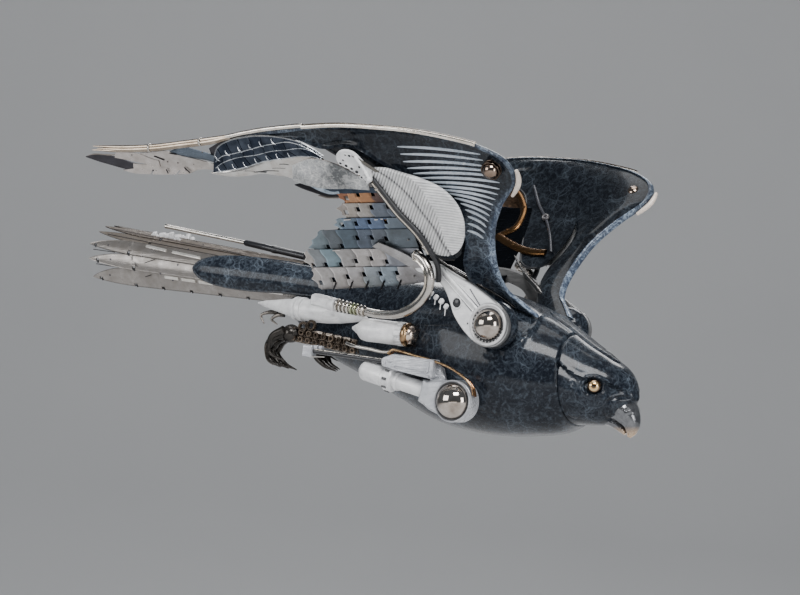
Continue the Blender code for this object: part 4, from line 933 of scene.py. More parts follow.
def leaf(place, low, high, out=0.0, thick=0.8, arch=0.0, rim=0.0, tint=None, back=0.55):
    """A thin closed plate between two curves in place's own plane: arch lifts its middle as
    1-(2t-1)^2, rim beads the edges of its upper face, and back darkens its other face, a painted
    shade."""
    low, high = np.array(low, float)[:, None], np.array(high, float)[:, None]
    t = ACROSS[None]
    spot = low + (high - low) * t[..., None]
    width = np.linalg.norm(high - low, axis=-1)
    bow = out + arch * (1 - (2 * t - 1) ** 2) * np.minimum(1, width / 6)
    edge = np.minimum(t, 1 - t) * width
    top = bow + thick / 2 + rim * bell(edge, 0.6)
    x, y = spot[..., 0], spot[..., 1]
    points = np.concatenate([place(x, y, top), place(x, y, bow - thick / 2)[:, ::-1]], 1)
    if tint is not None:
        tint = np.broadcast_to(tint, top.shape + (3,))
        # The other face is painted darker by back, a painted shade.
        tint = np.concatenate([tint, tint[:, ::-1] * back], 1)
    return sheet(points, wrap=True, caps=True, tint=tint)


def blade(low, high, out, tint, rows=44, **shape):
    """A wing blade between two smooth curves."""
    return leaf(wing_at, flow(low, rows), flow(high, rows), out, tint=tint, **shape)


def notch_cut(points, notches, depth, wide):
    """Rows of a low edge with square notches: at each place the edge steps up by depth for a
    width."""
    far = np.concatenate([[0], np.cumsum(np.linalg.norm(np.diff(points, axis=0), axis=1))])
    corners = [n + side * wide / 2 + e for n in notches for side in (-1, 1) for e in (-0.02, 0.02)]
    at = np.unique(np.concatenate([far, np.array(corners)]))
    inside = sum(np.abs(at - n) < wide / 2 for n in notches)
    return at / far[-1], inside * depth


def notched_blade(low, high, notches, depth, wide, out, tint, rows=44, **shape):
    """A blade whose low edge has square notches at distances along it."""
    low, high = flow(low, rows), flow(high, rows)
    share, cut = notch_cut(low, notches, depth, wide)
    base = np.linspace(0, 1, rows)
    low = np.stack([np.interp(share, base, column) for column in low.T], 1)
    high = np.stack([np.interp(share, base, column) for column in high.T], 1)
    way = high - low
    size = np.maximum(np.linalg.norm(way, axis=1), 0.1)
    low = low + way * np.minimum(cut / size, 0.95)[:, None]
    return leaf(wing_at, low, high, out, tint=tint, **shape)


def shingle_row(low, high, joins, tip, out, tints, notch=(3.4, 4.0), wave=1.7, right=None,
                thick=0.5):
    """A row of overlapping plates between a low and a high line of the wing's plane. Each plate's
    far edge is an S, x = join + wave*sin(2*pi*(s - notch)), with a square notch where it meets the
    next plate, and the last one ends in a point with two more nicks. joins are (along, share of the
    height), right to left."""
    low, high = np.array(sorted(low), float), np.array(sorted(high), float)
    right = max(low[-1, 0], high[-1, 0]) if right is None else right
    tall = notch[1] / 2 / (high[:, 1].mean() - low[:, 1].mean())
    marks = [s + side * tall + e for _, s in joins for side in (-1, 1) for e in (-0.004, 0.004)]
    s = np.unique(np.clip(np.concatenate([np.linspace(0, 1, 31), np.array(marks)]), 0, 1))
    shapes = []
    before, hole = np.full(len(s), float(right)), np.zeros(len(s), bool)
    for k in range(len(joins) + 1):
        if k < len(joins):
            x, middle = joins[k]
            band = np.abs(s - middle) < tall
            edge = x + wave * np.sin(2 * math.pi * (s - middle)) + wave * (s - middle)
            cut = np.where(band, x + notch[0] / 2, edge)
        else:
            reach = np.where(s > tip[1], (s - tip[1]) / (1 - tip[1]), (tip[1] - s) / tip[1])
            edge = (tip[0] + tip[2] * reach ** 1.25
                    + 2.4 * np.abs(np.sin(2.5 * math.pi * (s - tip[1]))))
            cut, band = edge, np.zeros(len(s), bool)
        start = np.where(hole, before - notch[0] / 2 - 0.1, before + (1.6 if k else 0))
        lines = []
        for x in (start, cut):
            y = (np.interp(x, low[:, 0], low[:, 1]) * (1 - s)
                 + np.interp(x, high[:, 0], high[:, 1]) * s)
            lines.append(np.stack([x, y], 1))
        lift = out - 0.9 * (1 - s)[:, None] + 0.5 * ACROSS[None]
        # The plate's far edge is painted brighter, a painted highlight.
        bright = 1 + 0.7 * bell(1 - ACROSS, 0.05)
        if k:
            # A band where the plate comes out from under the one before is painted darker, a
            # painted shadow.
            bright = bright - 0.75 * bell(ACROSS - 0.12, 0.08)
        # The plate's low edge is painted darker, a painted shade where the next row laps over it.
        shade = bright[None] * (0.5 + 0.5 * step(0, 0.16, s))[:, None]
        tint = 0.85 * np.array(tints[k % len(tints)])[None, None] * shade[..., None]
        shapes.append(leaf(wing_at, lines[0], lines[1], lift, thick, 0.15, 0.25, np.broadcast_to(
            tint, (len(s), len(ACROSS), 3))))
        before, hole = np.where(band, joins[min(k, len(joins) - 1)][0], edge), band
    return shapes


def build_primaries():
    """The wing tip: pale speckled blades under the edge trim, one dark pointed blade behind them
    and one glossy dark blade at their root."""
    pale, dark, glossy = (1.05, 1.0, 0.97), (0.10, 0.10, 0.12), (0.22, 0.28, 0.36)
    shapes = [
        notched_blade(((-242, 13.5), (-257.7, 14), (-264.3, 11.6), (-278.8, 11.3), (-302.2, 12.8),
                       (-317.9, 14.7), (-327.3, 18)),
                      ((-226, 22), (-252.7, 17.6), (-275.8, 19.2), (-298.1, 18.6), (-308, 18.8),
                       (-314.3, 18.9), (-327.3, 18.2)),
                      (36.5, 60.5), 5.5, 1.6, -2.6, pale, thick=0.7, rim=0.25, arch=0.4),
        blade(((-226, 16), (-241.7, 13.7), (-257.5, 16.7), (-275.9, 18), (-290.3, 17.8),
               (-302.7, 18.6)),
              ((-226, 19), (-240.8, 16.4), (-260.6, 21.2), (-281.9, 24.9), (-291.2, 25.4),
               (-300.7, 23.4)),
              -2.0, (0.98, 0.94, 0.92), thick=0.7, rim=0.25, arch=0.4),
        blade(((-226, 15), (-240.8, 16), (-260.5, 20.6), (-281.8, 24.6), (-290.8, 26.5),
               (-304.3, 32.2)),
              ((-226, 22), (-240, 19), (-246.3, 21.6), (-269.1, 29), (-278.7, 33), (-294, 33),
               (-304, 32.9)),
              -1.5, (1.0, 0.97, 0.95), thick=0.7, rim=0.25, arch=0.4),
        blade(((-289.6, 20), (-298.5, 21.8), (-307, 24.7), (-317.4, 27.6), (-329.3, 30.6)),
              ((-289.3, 25.3), (-296, 27.9), (-303.1, 31.6), (-312, 34), (-326.3, 35.8)),
              -1.1, pale, thick=0.7, rim=0.2, arch=0.3),
        blade(((-290, 18.6), (-302.6, 18.9), (-316, 19.2)),
              ((-290, 21), (-302.2, 22.1), (-314.6, 23.8)),
              -1.7, (1.1, 1.05, 1.0), thick=0.7, rim=0.2, arch=0.3),
        blade(((-285, 15), (-301.3, 15.1), (-315.5, 16), (-324.2, 18.3), (-337, 22.8),
               (-349.7, 27.7), (-358.7, 31.8)),
              ((-285, 19), (-299.4, 20), (-315.3, 23.3), (-326.7, 28.6), (-338, 32.1),
               (-352.2, 33.4), (-358.7, 32.2)),
              -3.3, dark, thick=0.7, rim=0.3, arch=0.5),
        blade(((-326, 31.2), (-338, 32), (-352.2, 33.2), (-358.0, 32.2)),
              ((-326, 32.2), (-338, 33), (-352.2, 34.0), (-358.0, 32.4)), -2.9, (0.75, 0.7, 0.66),
              thick=0.5),
        blade(((-222, 22), (-237, 19.6), (-244.9, 22.3), (-258.7, 25.4), (-270.9, 28.3),
               (-278.6, 31.5)),
              ((-222, 27), (-237.2, 26), (-241.6, 28.2), (-251.4, 32), (-260.5, 35.1),
               (-278.5, 32)),
              -2.4, glossy, thick=0.7, rim=0.3, arch=1.2),
        blade(((-205, 20), (-225, 18), (-240, 18)), ((-205, 42), (-225, 38), (-240, 32)), -3.4,
              dark, thick=0.8),
    ]
    rivets = [ball(wing_at(a, u, out), 0.7, 12, tint=(0.25, 0.23, 0.22))
              for a, u, out in ((-292.5, 22.6, -1.6), (-281.5, 23.4, -1.5), (-272.4, 21.8, -1.5),
                                (-258, 20, -1.4), (-296, 16, -2.3), (-268, 14.6, -2.2),
                                (-252, 16, -2.0), (-312, 32, -0.7), (-246, 30, -1.6))]
    slits = [bar(wing_at((a, b), (u, v), -0.6), 0.55, 6, OUTWARD, tint=(0.05, 0.05, 0.06))
             for a, u, b, v in ((-291.5, 29.6, -283.5, 25.6), (-285, 17.2, -284.6, 13.4),
                                (-267.5, 17.8, -264, 12.6), (-276, 31.5, -270, 29.8))]
    make_pair("wing_tip_blades", pool(shapes + rivets + slits), "blade_steel", "primary_feathers")


COVERT_EDGE = ((-134.2, -5.2), (-145.6, -4.6), (-157.9, -1.2), (-165.7, 2.3), (-173.4, 5.9),
               (-185.3, 8.4), (-194.7, 10.3), (-207.1, 9.2), (-230.9, 10.1), (-242, 13.1))
COVERT_LINES = (
    ((-128, 4), (-135.5, 16.8), (-140.8, 20.9), (-148.2, 22.9), (-156.3, 23.4), (-173.6, 22.4),
     (-190.9, 20.9), (-209.8, 16.7), (-228.3, 14.9), (-241, 13.8)),
    ((-134, 17), (-141.3, 24.5), (-148.6, 28.9), (-155.3, 30.2), (-166.4, 29.6), (-178.3, 29.4),
     (-194.8, 26.9), (-214.6, 25.2), (-229.7, 21), (-240, 15)),
    ((-137, 20), (-145.9, 28), (-154.5, 33.4), (-163.2, 36.1), (-175.1, 35.4), (-184.6, 34.5),
     (-198.3, 32), (-213.2, 29.4), (-226.8, 27.2), (-238, 20)),
    ((-133, 17.5), (-143, 27.6), (-153.7, 35.2), (-165.7, 39.6), (-178.4, 42), (-191.6, 43),
     (-201.4, 42.5), (-215, 40.5), (-228, 35), (-237, 22)))


def build_coverts():
    """Curved bands of small dark plates with bright edges and bent-up barbs, over a broad silver
    band that turns into beaten steel beside the link."""
    dark = ((0.30, 0.30, 0.33), (0.19, 0.20, 0.24), (0.38, 0.38, 0.41))
    edge = np.array((4.2, 3.6, 3.1))
    shapes = []
    lines = [flow(line, 90) for line in COVERT_LINES]
    for k in range(3):
        joins = np.linspace(4, 86, 11).round().astype(int)
        for n, (a, b) in enumerate(zip(joins[:-1], joins[1:])):
            rows = np.arange(a, b + 3).clip(0, 89)
            lift = (2.0 + 0.45 * (2 - k) + np.linspace(0.45, 0.0, len(rows))[:, None]
                    - 0.5 * ACROSS[None])
            shapes.append(leaf(wing_at, lines[k][rows], lines[k + 1][rows], lift, 0.45, 0.2, 0.15,
                               np.array(dark[(n + k) % 3])))
    for k, size in ((0, 0.55), (1, 0.4), (2, 0.45), (3, 0.7)):
        height = (3.3, 2.9, 2.5, 1.9)[k]
        spots = lines[k][4:86]
        beads = wing_at(spots[:, 0], spots[:, 1], height)
        shapes.append(bar(beads, size, 8, OUTWARD, tint=edge * (0.9 if k < 3 else 0.45)))
    for k, places, tall in ((2, (-176.5, -187.9, -198.4, -208.9, -221.4, -232), 4.2),
                            (0, (-165.5, -176.3, -185.9, -196.9, -208.3, -218.9, -233), 4.6)):
        line = np.array(COVERT_LINES[k][::-1])
        for x in places:
            u = np.interp(x, line[:, 0], line[:, 1])
            barb = ((x + 2.6, u - 0.3), (x + 0.9, u + 0.1), (x, u + 1.2), (x - 0.5, u + tall))
            shapes.append(wing_bar(barb, 12, 3.4 - 0.4 * k, np.linspace(0.5, 0.3, 12), 6,
                                   tint=edge))
    make_pair("covert_rows", shapes, "blued_blade", "covert_feathers")
    low, high = flow(COVERT_EDGE, 90), lines[0]
    band = leaf(wing_at, low, high, 2.6, 0.7, 1.6, 0.2, (1.0, 1.02, 1.05))
    streaks = []
    for k, (a, u, run) in enumerate(((-178, 15, 13), (-186, 13, 15), (-196, 12.4, 12),
                                     (-172, 18, 9), (-205, 14, 10))):
        streak = ((a + run / 2, u - 0.8), (a, u), (a - run / 2, u + 0.2))
        streaks.append(wing_bar(streak, 12, 4.35 - 0.02 * k, [0.1] + [0.35] * 10 + [0.1], 6,
                                tint=(0.2, 0.22, 0.25)))
    make_pair("covert_band", pool([band] + streaks), "bright_steel")
    beaten = blade(((-105, -8.6), (-123.7, -6.4), (-132.4, -6), (-145.5, -4.8), (-157.8, -1.4),
                    (-168.7, 3.4)), ((-103, 0), (-113, 6), (-121, 12), (-130, 17), (-145, 21.5),
                                     (-165, 17)), 4.2, (1, 1, 1), thick=1.0, arch=0.8, rim=0.3,
                   back=(0.26, 0.16, 0.10))
    make_pair("covert_patch", beaten, "beaten_steel")
    spike = [blade(((-100, -13), (-106.4, -12.6), (-138.7, -10.6), (-149.2, -7.1), (-159.1, -2.3)),
                   ((-100, -8), (-105.2, -8.2), (-127.7, -4.7), (-145.2, -3.1), (-159.1, -1.9)),
                   1.2, (0.3, 0.32, 0.36), thick=0.8, arch=0.8, rim=0.3),
             blade(((-134, -12), (-143.5, -11.6), (-152.8, -7.3), (-159, -2.6)),
                   ((-134, -9.6), (-138.7, -9.8), (-150, -4.8), (-159, -2.2)), 1.9,
                   (2.6, 2.5, 2.35), thick=0.5)]
    make_pair("covert_spike", spike, "blued_blade")


# The rows of blades behind the arm: low line, high line, joins as along and share of the height,
# the tip as along, share and depth, and the plates' tints
SECONDARY_ROWS = (
    (((-139, -22.5), (-94, -24.8)), ((-141, -10.7), (-94, -12.8)),
     ((-107.2, 0.75), (-120.3, 0.7), (-131.3, 0.42)), (-140.6, 0.86, 6),
     ((0.20, 0.13, 0.12), (0.92, 0.48, 0.25), (1.02, 0.56, 0.31), (0.70, 0.33, 0.20))),
    (((-142.2, -36), (-88, -38)), ((-143.5, -21.8), (-88, -24)),
     ((-97.9, 0.75), (-112.4, 0.72), (-124.7, 0.6), (-136, 0.4)), (-143.8, 0.68, 5.5),
     ((0.30, 0.36, 0.46), (0.32, 0.38, 0.48), (0.80, 0.78, 0.74), (0.85, 0.80, 0.74),
      (0.75, 0.70, 0.66))),
    (((-154, -47), (-84, -50)), ((-150, -34.8), (-84, -37.5)),
     ((-104.4, 0.72), (-118.8, 0.7), (-131, 0.58), (-143.7, 0.5)), (-151.6, 0.5, 5),
     ((0.36, 0.46, 0.58), (0.30, 0.42, 0.66), (0.28, 0.40, 0.64), (0.34, 0.47, 0.64),
      (0.5, 0.66, 0.80))),
    (((-182.6, -63), (-84, -67)), ((-160, -45), (-84, -47.5)),
     ((-109.2, 0.55), (-121.6, 0.62), (-134.4, 0.6), (-150.9, 0.2), (-163.6, 0.16)),
     (-182.4, 0.12, 16),
     ((0.26, 0.32, 0.38), (0.28, 0.33, 0.40), (0.24, 0.30, 0.40), (0.22, 0.30, 0.38),
      (0.28, 0.33, 0.38),
      (0.40, 0.52, 0.60))),
    (((-192.5, -80), (-84, -83)), ((-184, -62), (-84, -65)),
     ((-116.1, 0.33), (-128.7, 0.5), (-143.1, 0.38), (-158.1, 0.2), (-171.5, 0.2), (-182.9, 0.2)),
     (-190.8, 0.42, 5),
     ((0.55, 0.60, 0.70), (1.0, 0.97, 0.98), (1.02, 1.0, 1.0), (0.85, 0.86, 0.88),
      (0.48, 0.68, 0.80),
      (0.55, 0.62, 0.68), (1.05, 1.03, 1.02))),
    (((-192.5, -99.8), (-150, -99.5), (-106, -98), (-84, -96)), ((-190, -78.5), (-84, -81.5)),
     ((-110.3, 0.66), (-125.2, 0.66), (-140.2, 0.64), (-155.7, 0.55), (-169.4, 0.42),
      (-182.2, 0.3)),
     (-189.5, 0.5, 4.5),
     ((0.80, 0.82, 0.88), (0.66, 0.82, 0.98), (0.74, 0.86, 0.98), (1.02, 1.02, 1.06),
      (1.05, 1.03, 1.04),
      (1.0, 1.0, 1.02), (1.02, 1.0, 1.0))),
)


def build_secondaries():
    """Six rows of notched, overlapping plates, each row lapped by the next below, with slanted
    slits along the last row, the smooth bar that ties them and a dark lining behind."""
    shapes = []
    for low, high, joins, tip, tints in SECONDARY_ROWS:
        shapes += shingle_row(low, high, joins, tip, -1.2, tints)
    lining = leaf(wing_at, flow(((-128, -10), (-132, -25), (-139, -37), (-151, -46), (-167, -54),
                                 (-179, -64), (-182, -80), (-181, -96)), 50),
                  flow(((-92, -12), (-88, -30), (-84, -50), (-82, -96)), 50), -3.0, 0.6,
                  tint=(0.12, 0.13, 0.15))
    make_pair("wing_inner_lining", lining, "blued_blade")
    for x in (-114, -129, -143.5, -158, -173):
        shapes.append(wing_bar(((x + 5, -93.2), (x, -100.2)), 2, 0.0, 0.7, 6,
                               tint=(0.03, 0.03, 0.04)))
    # Thin bright bars on the plates' top edges: painted glints.
    painted_glints = ((-140, -36.2, -134), (-113, -37.4, -110), (-107.5, -37.2, -105.5),
              (-93, -36.6, -87.5), (-160, -63.4, -153))
    for a, u, b in painted_glints:
        shapes.append(bar(wing_at((a, b), (u, u), 0.1), 0.45, 8, OUTWARD, tint=(1.5, 1.5, 1.5)))
    shapes.append(blade(((-122.5, -60.4), (-105, -72.6), (-86, -90)),
                        ((-116, -57), (-98, -67), (-78, -84)), 0.9, (0.78, 0.79, 0.82), rows=30,
                        thick=0.9, arch=0.6, rim=0.1))
    rivets = [ball(wing_at(a, u, -0.4), 0.8, 12, tint=(0.5, 0.5, 0.5)) for a, u in
              ((-99, -18), (-90, -31), (-88, -44), (-90, -57), (-92, -74), (-96, -90))]
    make_pair("wing_inner_blades", pool(shapes + rivets), "blade_steel", "secondary_feathers")


# The grooves' spacing, how far the plate is moved over to its place, its fold and its vein
GROOVE_STEP = 2.35
PLATE_SHIFT = (4.4, 4.2)
FOLD = ((-66, -57.3), (-53, -57.7), (-36, -57.5), (-21, -60.5), (-4.4, -67.4), (0, -71), (9, -84))
VEIN = ((-70, -57), (-61, -60.5), (-48, -63.1), (-39, -67.2), (-28, -72), (-18, -76.4), (-8, -83),
        (1, -91.5), (6, -98))


def build_feather_plate():
    """The pale plate: fine steep grooves as far as a curved fold and level ones beyond it, 2.35 mm
    apart, with a soft dark vein sunk through them."""
    rows, columns = 230, 104
    high = flow(((-101.5, 7.5), (-89, 6.5), (-75, 1.2), (-59, -5.5), (-45, -15.5), (-38.5, -27),
                 (-36.9, -40), (-39.3, -52), (-45, -63.5), (-51, -69.5), (-57, -71.8)), rows)
    low = flow(((-102.5, 4), (-98, -8), (-91, -24), (-83.5, -42), (-78.5, -55), (-76, -62),
                (-74.5, -67.5), (-69, -71), (-62, -72.2), (-57.5, -72)), rows)
    t = np.linspace(0, 1, columns)[None]
    spot = low[:, None] + (high - low)[:, None] * t[..., None]
    x, y = spot[..., 0], spot[..., 1]
    beyond = step(-1.0, 1.0, x - smooth_line(FOLD, y))
    steep = np.sin((0.827 * x - 0.562 * y) * 2 * math.pi / GROOVE_STEP)
    level = np.sin((0.236 * x + 0.972 * y) * 2 * math.pi / GROOVE_STEP)
    edge = step(0, 1.6, np.minimum(t, 1 - t) * np.linalg.norm(high - low, axis=1)[:, None])
    vein = bell(x - smooth_line(VEIN, y), 1.3)
    fold = 1.1 * bell(x - smooth_line(FOLD, y), 9)
    grooves = 0.48 * steep * (1 - beyond) + 0.34 * level * beyond
    top = 7.0 - 0.6 * (1 - edge) + grooves * edge + fold - 0.6 * vein
    # The plate is darker along the sunk vein, and the bottoms of the grooves are painted darker, a
    # painted shade in the grooves.
    shade = (1.1 - 0.55 * vein - 0.62 * (1 - beyond) * (0.5 - 0.5 * steep) ** 2
             - 0.34 * beyond * (0.5 - 0.5 * level) ** 2)
    back = np.linspace(columns - 1, 0, 12).round().astype(int)
    x, y = x + PLATE_SHIFT[0], y + PLATE_SHIFT[1]
    points = np.concatenate([wing_at(x, y, top), wing_at(x[:, back], y[:, back], 5.4)], 1)
    # The back face is painted at half brightness, a painted shade.
    tint = np.repeat(np.concatenate([shade, 0.5 * shade[:, back]], 1)[..., None], 3, 2)
    make_pair("herringbone_plate", sheet(points, wrap=True, caps=True, tint=tint),
              "white_cast", "feather_plate")


# How far the link is moved over and stands out, its outline, and the line of the push rod
LINK_SHIFT, LINK_OUT = (5.6, 5.4), 9.0
LINK = ((-125.1, 21.3), (-121.8, 23.8), (-117.8, 24.7), (-113.3, 24.0), (-108.9, 21.0),
        (-105.9, 16.1), (-103.0, 10.6), (-101.0, 3.8), (-102.4, -2.0), (-107.2, -3.2),
        (-110.8, 2.3), (-116.1, 6.6), (-121.8, 9.7), (-125.6, 13.3), (-126.5, 17.4))
PUSH_LINE = ((-101.4, -1.7), (-95.7, -16.2), (-89.1, -32.2), (-77.5, -53.4), (-73.3, -68.7),
             (-71.7, -79.9), (-75.2, -94))


def link_at(x, y, height):
    """A place on the link, which stands out from the wing."""
    return wing_at(np.asarray(x) + LINK_SHIFT[0], np.asarray(y) + LINK_SHIFT[1], LINK_OUT + height)


def build_link():
    """The perforated link with its sunk wedge, wire and joint, and the double push rod with a black
    half on each side of a bright one."""
    outline = rounded(LINK, 70)
    shapes = [slab(outline, 2.6, link_at, 0.7)]
    spots = ((-123.6, 13.8, 1.1), (-119.4, 11.4, 1.3), (-115.6, 8.6, 1.2), (-112.2, 5.6, 1.4),
             (-108.6, 9.6, 1.0), (-105.2, 5.4, 1.2), (-113.8, 19.8, 1.1), (-120.4, 16.4, 0.8),
             (-117, 20.6, 0.7), (-109.6, 0.6, 1.0))
    shapes += [hoop(link_at(x, y, 1.3), OUTWARD, r + 0.4, 0.45, 20) for x, y, r in spots]
    wire = flow(((-108.4, 19.6), (-105.4, 10.4), (-102.9, -1.6)), 24)
    shapes.append(bar(link_at(wire[:, 0], wire[:, 1], 2.2), 1.1, 12, OUTWARD, tint=(1.2, 1.2, 1.2)))
    shapes += [ball(link_at(x, y, 1.6), r, 24)
               for x, y, r in ((-103.4, -1.2, 2.5), (-107, 1.4, 1.5), (-105.6, -3.4, 1.3))]
    make_pair("wing_finger_link", shapes, "white_cast", "finger_link")
    # Dark discs in the link's holes and a dark wedge in its sunk hollow: a painted shade.
    hollows = [plug(link_at(x, y, 1.25), OUTWARD, r, 0.2) for x, y, r in spots]
    wedge = ((-112.9, 20.6), (-106.4, 17.0), (-99, 10.5), (-92.8, 4.5), (-96.5, 4.2), (-102.4, 9.4),
             (-109, 16.4))
    hollows.append(slab(wedge, 0.8, lambda x, y, height: link_at(x, y, 1.2 + height), 0.25,
                        (6.0, 5.4, 4.0)))
    make_pair("wing_link_hollows", hollows, "dark_rod")
    line = flow(PUSH_LINE, 70)
    side = np.array((-2.7, -0.9))
    bright = line[2:52] + side
    rod = bar(link_at(bright[:, 0], bright[:, 1], 0.2), 0.95, 12, OUTWARD, tint=(1.15, 1.12, 1.05))
    collar = [hoop(link_at(*(line[n] + side), 0.2), wing_at(0.42, -0.9) - wing_at(0, 0), 1.3, 0.6,
                   20, 1.2) for n in (6, 46)]
    make_pair("push_rod_bright", pool([rod] + collar), "bright_steel", "push_rod")
    rods = [bar(link_at(line[:, 0], line[:, 1], 0.0), np.linspace(1.5, 2.3, 70), 14, OUTWARD)]
    low = line[:48] + side * 1.62
    rods.append(bar(link_at(low[:, 0], low[:, 1], -0.4), 0.7, 10, OUTWARD))
    make_pair("push_rod_dark", rods, "dark_rod")


# Arms and pipes

def upright_at(y):
    """A place function for work that lies in an XZ plane and faces the bird's right."""
    def place(x, z, height):
        x, z, height = np.broadcast_arrays(x, z, height)
        return np.stack([x, y - height, z], -1).astype(float)
    return place


def rounded(points, count=80):
    """A closed outline through points, smoothed."""
    return flow(list(points) + [points[0]], count)[:-1]


def block(centre, way, size, bevel, out_way=RIGHT, tint=None):
    """A box with softened edges: its length along way, its width along out_way."""
    length, high, wide = size
    outline = []
    for x, y, start in ((length / 2, high / 2, 0), (-length / 2, high / 2, 90),
                        (-length / 2, -high / 2, 180), (length / 2, -high / 2, 270)):
        a = np.radians(np.linspace(start, start + 90, 5))
        outline += [(x - bevel * np.sign(x) + bevel * np.cos(n),
                     y - bevel * np.sign(y) + bevel * np.sin(n)) for n in a]
    return slab(outline, wide, plane_at(centre, way, out_way), bevel * 0.7, tint)


def screw(centre, way, radius, tint=None):
    """A round screw head with a chamfer and a sunk middle."""
    return turned(((0, -radius), (radius, -radius), (radius, 0.25 * radius),
                   (radius * 0.8, 0.5 * radius), (radius * 0.42, 0.5 * radius),
                   (radius * 0.36, 0.2 * radius), (0, 0.2 * radius)), centre, way, 18, tint)


def arm_spot(x, z, height=3.4):
    """A place over the arm's middle plane."""
    return np.array((x, SHOULDER[1] - height, z), float)


ARM_OUTLINE = ((4.5, 10.5), (18, 8), (29.4, 4.1), (43.5, -3.9), (59.8, -12.7), (74, -22.5),
               (82, -29), (87.6, -36), (89.6, -44), (86, -53.5), (79, -58.6), (70, -59.4),
               (60, -55.5), (51.6, -48.3), (44.5, -39.5), (40.6, -33), (38.5, -27), (35, -18),
               (29.5, -9.7), (18.8, -3.7), (7, 1))


def build_arms():
    """The pale arm, a slab on a smooth outline, with its raised bars, sunk pivot and drilled end,
    the ball in its toothed ring, whose spokes stand at even angles, and the cup behind as a turned
    profile."""
    place = upright_at(SHOULDER[1])
    outline = rounded(ARM_OUTLINE, 140)
    # The arm's inner face and its side walls are painted dark, a painted shade; its outer face
    # keeps its own colour.
    painted_shade_rings = np.array((0.10, 0.10, 0.22, 1.0))[:, None, None] * np.ones(3)
    shapes = [slab(outline, 6.5, place, 1.1, painted_shade_rings)]
    out = RIGHT
    for (x0, z0), (x1, z1), size, height in (((31.5, 1.4), (64.5, -32.0), 1.5, 3.3),
            ((35.5, -0.2), (67.5, -31.0), 0.55, 3.4), ((30.2, -2.2), (60, -32.6), 0.5, 3.4)):
        path = flow((arm_spot(x0, z0, height), arm_spot((x0 + x1) / 2, (z0 + z1) / 2, height + 0.3),
                     arm_spot(x1, z1, height)), 30)
        shapes.append(bar(path, np.array([size * 0.5] + [size] * 28 + [size * 0.5]), 10, LEFT))
    shapes.append(hoop(arm_spot(44.9, -25.3), out, 4.3, 0.7, 36))
    # The ring is painted darker round its outer edge, a painted shade.
    flank = (1 - 0.85 * step(0.4, 0.95, np.cos(np.linspace(0, 2 * math.pi, 12,
            endpoint=False))))[None, :, None] * np.ones(3)
    shapes.append(hoop(SHOULDER + (0, -3.2, 0), out, 15.0, 1.5, 64, 2.0, flank))
    links = ((23, -17.2), (27.5, -20.6), (32.3, -23.8), (36.5, -27.8))
    for k, (x, z) in enumerate(links):
        shapes.append(block((x, -67.2, z), (0.78, 0, -0.62), (3.9 - 0.5 * (k % 2), 4.2, 3.0), 1.25))
        shapes.append(bar(((x - 0.4, -67.5, z - 1), (x - 1.5, -67, z - 5 - 0.7 * k)), 0.4, 6, LEFT))
    shapes += [screw(arm_spot(x, z), out, 1.2)
               for x, z in ((80, -30), (84.5, -50), (52, -12), (12, 5.4))]
    make_pair("arm_casting", shapes, "white_cast", "upper_arm")
    # Dark pieces in the drilled holes, the sunk pivot, the gap round the ball and the gaps between
    # the ring's teeth are a painted shade; three darker lines run beside the bars.
    marks = [plug(arm_spot(x, z, 3.2), out, r, 0.16)
             for x, z, r in ((58.9, -38.5, 1.1), (63.2, -38.3, 1.2), (57.8, -44.1, 1.1),
                             (61.2, -44.6, 1.3), (58.5, -48.6, 1.0), (62.4, -49.6, 1.2),
                             (54.5, -41.2, 0.7), (66.5, -53.4, 0.7))]
    marks.append(turned(((0, 0), (3.8, 0), (3.8, 0.3), (2.4, 0.9), (0, 1.1)),
                        arm_spot(44.9, -25.3, 3.0), out, 30))
    for (x0, z0), (x1, z1) in (((56.6, -15), (67, -30)), ((33.4, 1.2), (65.8, -31.2)),
                               ((32, -3.6), (58, -31.8))):
        marks.append(bar((arm_spot(x0, z0, 3.2), arm_spot(x1, z1, 3.2)), 0.55, 6, LEFT,
                         tint=(4.0, 4.0, 4.2)))
    marks.append(hoop(SHOULDER + (0, -3.2, 0), out, 12.0, 0.7, 64))
    for a in np.radians(np.arange(135, 345, 13)):
        spoke = np.array((math.cos(a), 0, math.sin(a)))
        marks.append(block(SHOULDER + spoke * 13.3 + (0, -3.7, 0), spoke, (2.2, 1.5, 1.2), 0.3))
    make_pair("arm_hollows", marks, "dark_rod")
    joint = [ball(SHOULDER + (0, -2.6, 0), 11.8, 64, (0.3, -1, 0.2)),
             plug(SHOULDER + (0, 2, 0), LEFT, 6, 20, 24)]
    make_pair("shoulder_sphere", joint, "polished_ball", "shoulder_ball")
    cup = turned(((0, -3.0), (16.5, -3.0), (18.2, -2.2), (18.6, 0), (17.8, 4), (14.5, 9), (8, 13),
                  (0, 14)), SHOULDER + (0, 6.8, 0), LEFT, 64)
    make_pair("shoulder_cup", cup, "marbled_enamel")


PIPE = ((13, -77, 12.5), (20, -78, 10), (26, -78.5, 4), (29, -78, -5), (27, -76, -14),
        (20, -73, -22), (10, -70, -28), (-4.5, -66, -32), (-24, -62, -32.5), (-43, -59, -29.5))


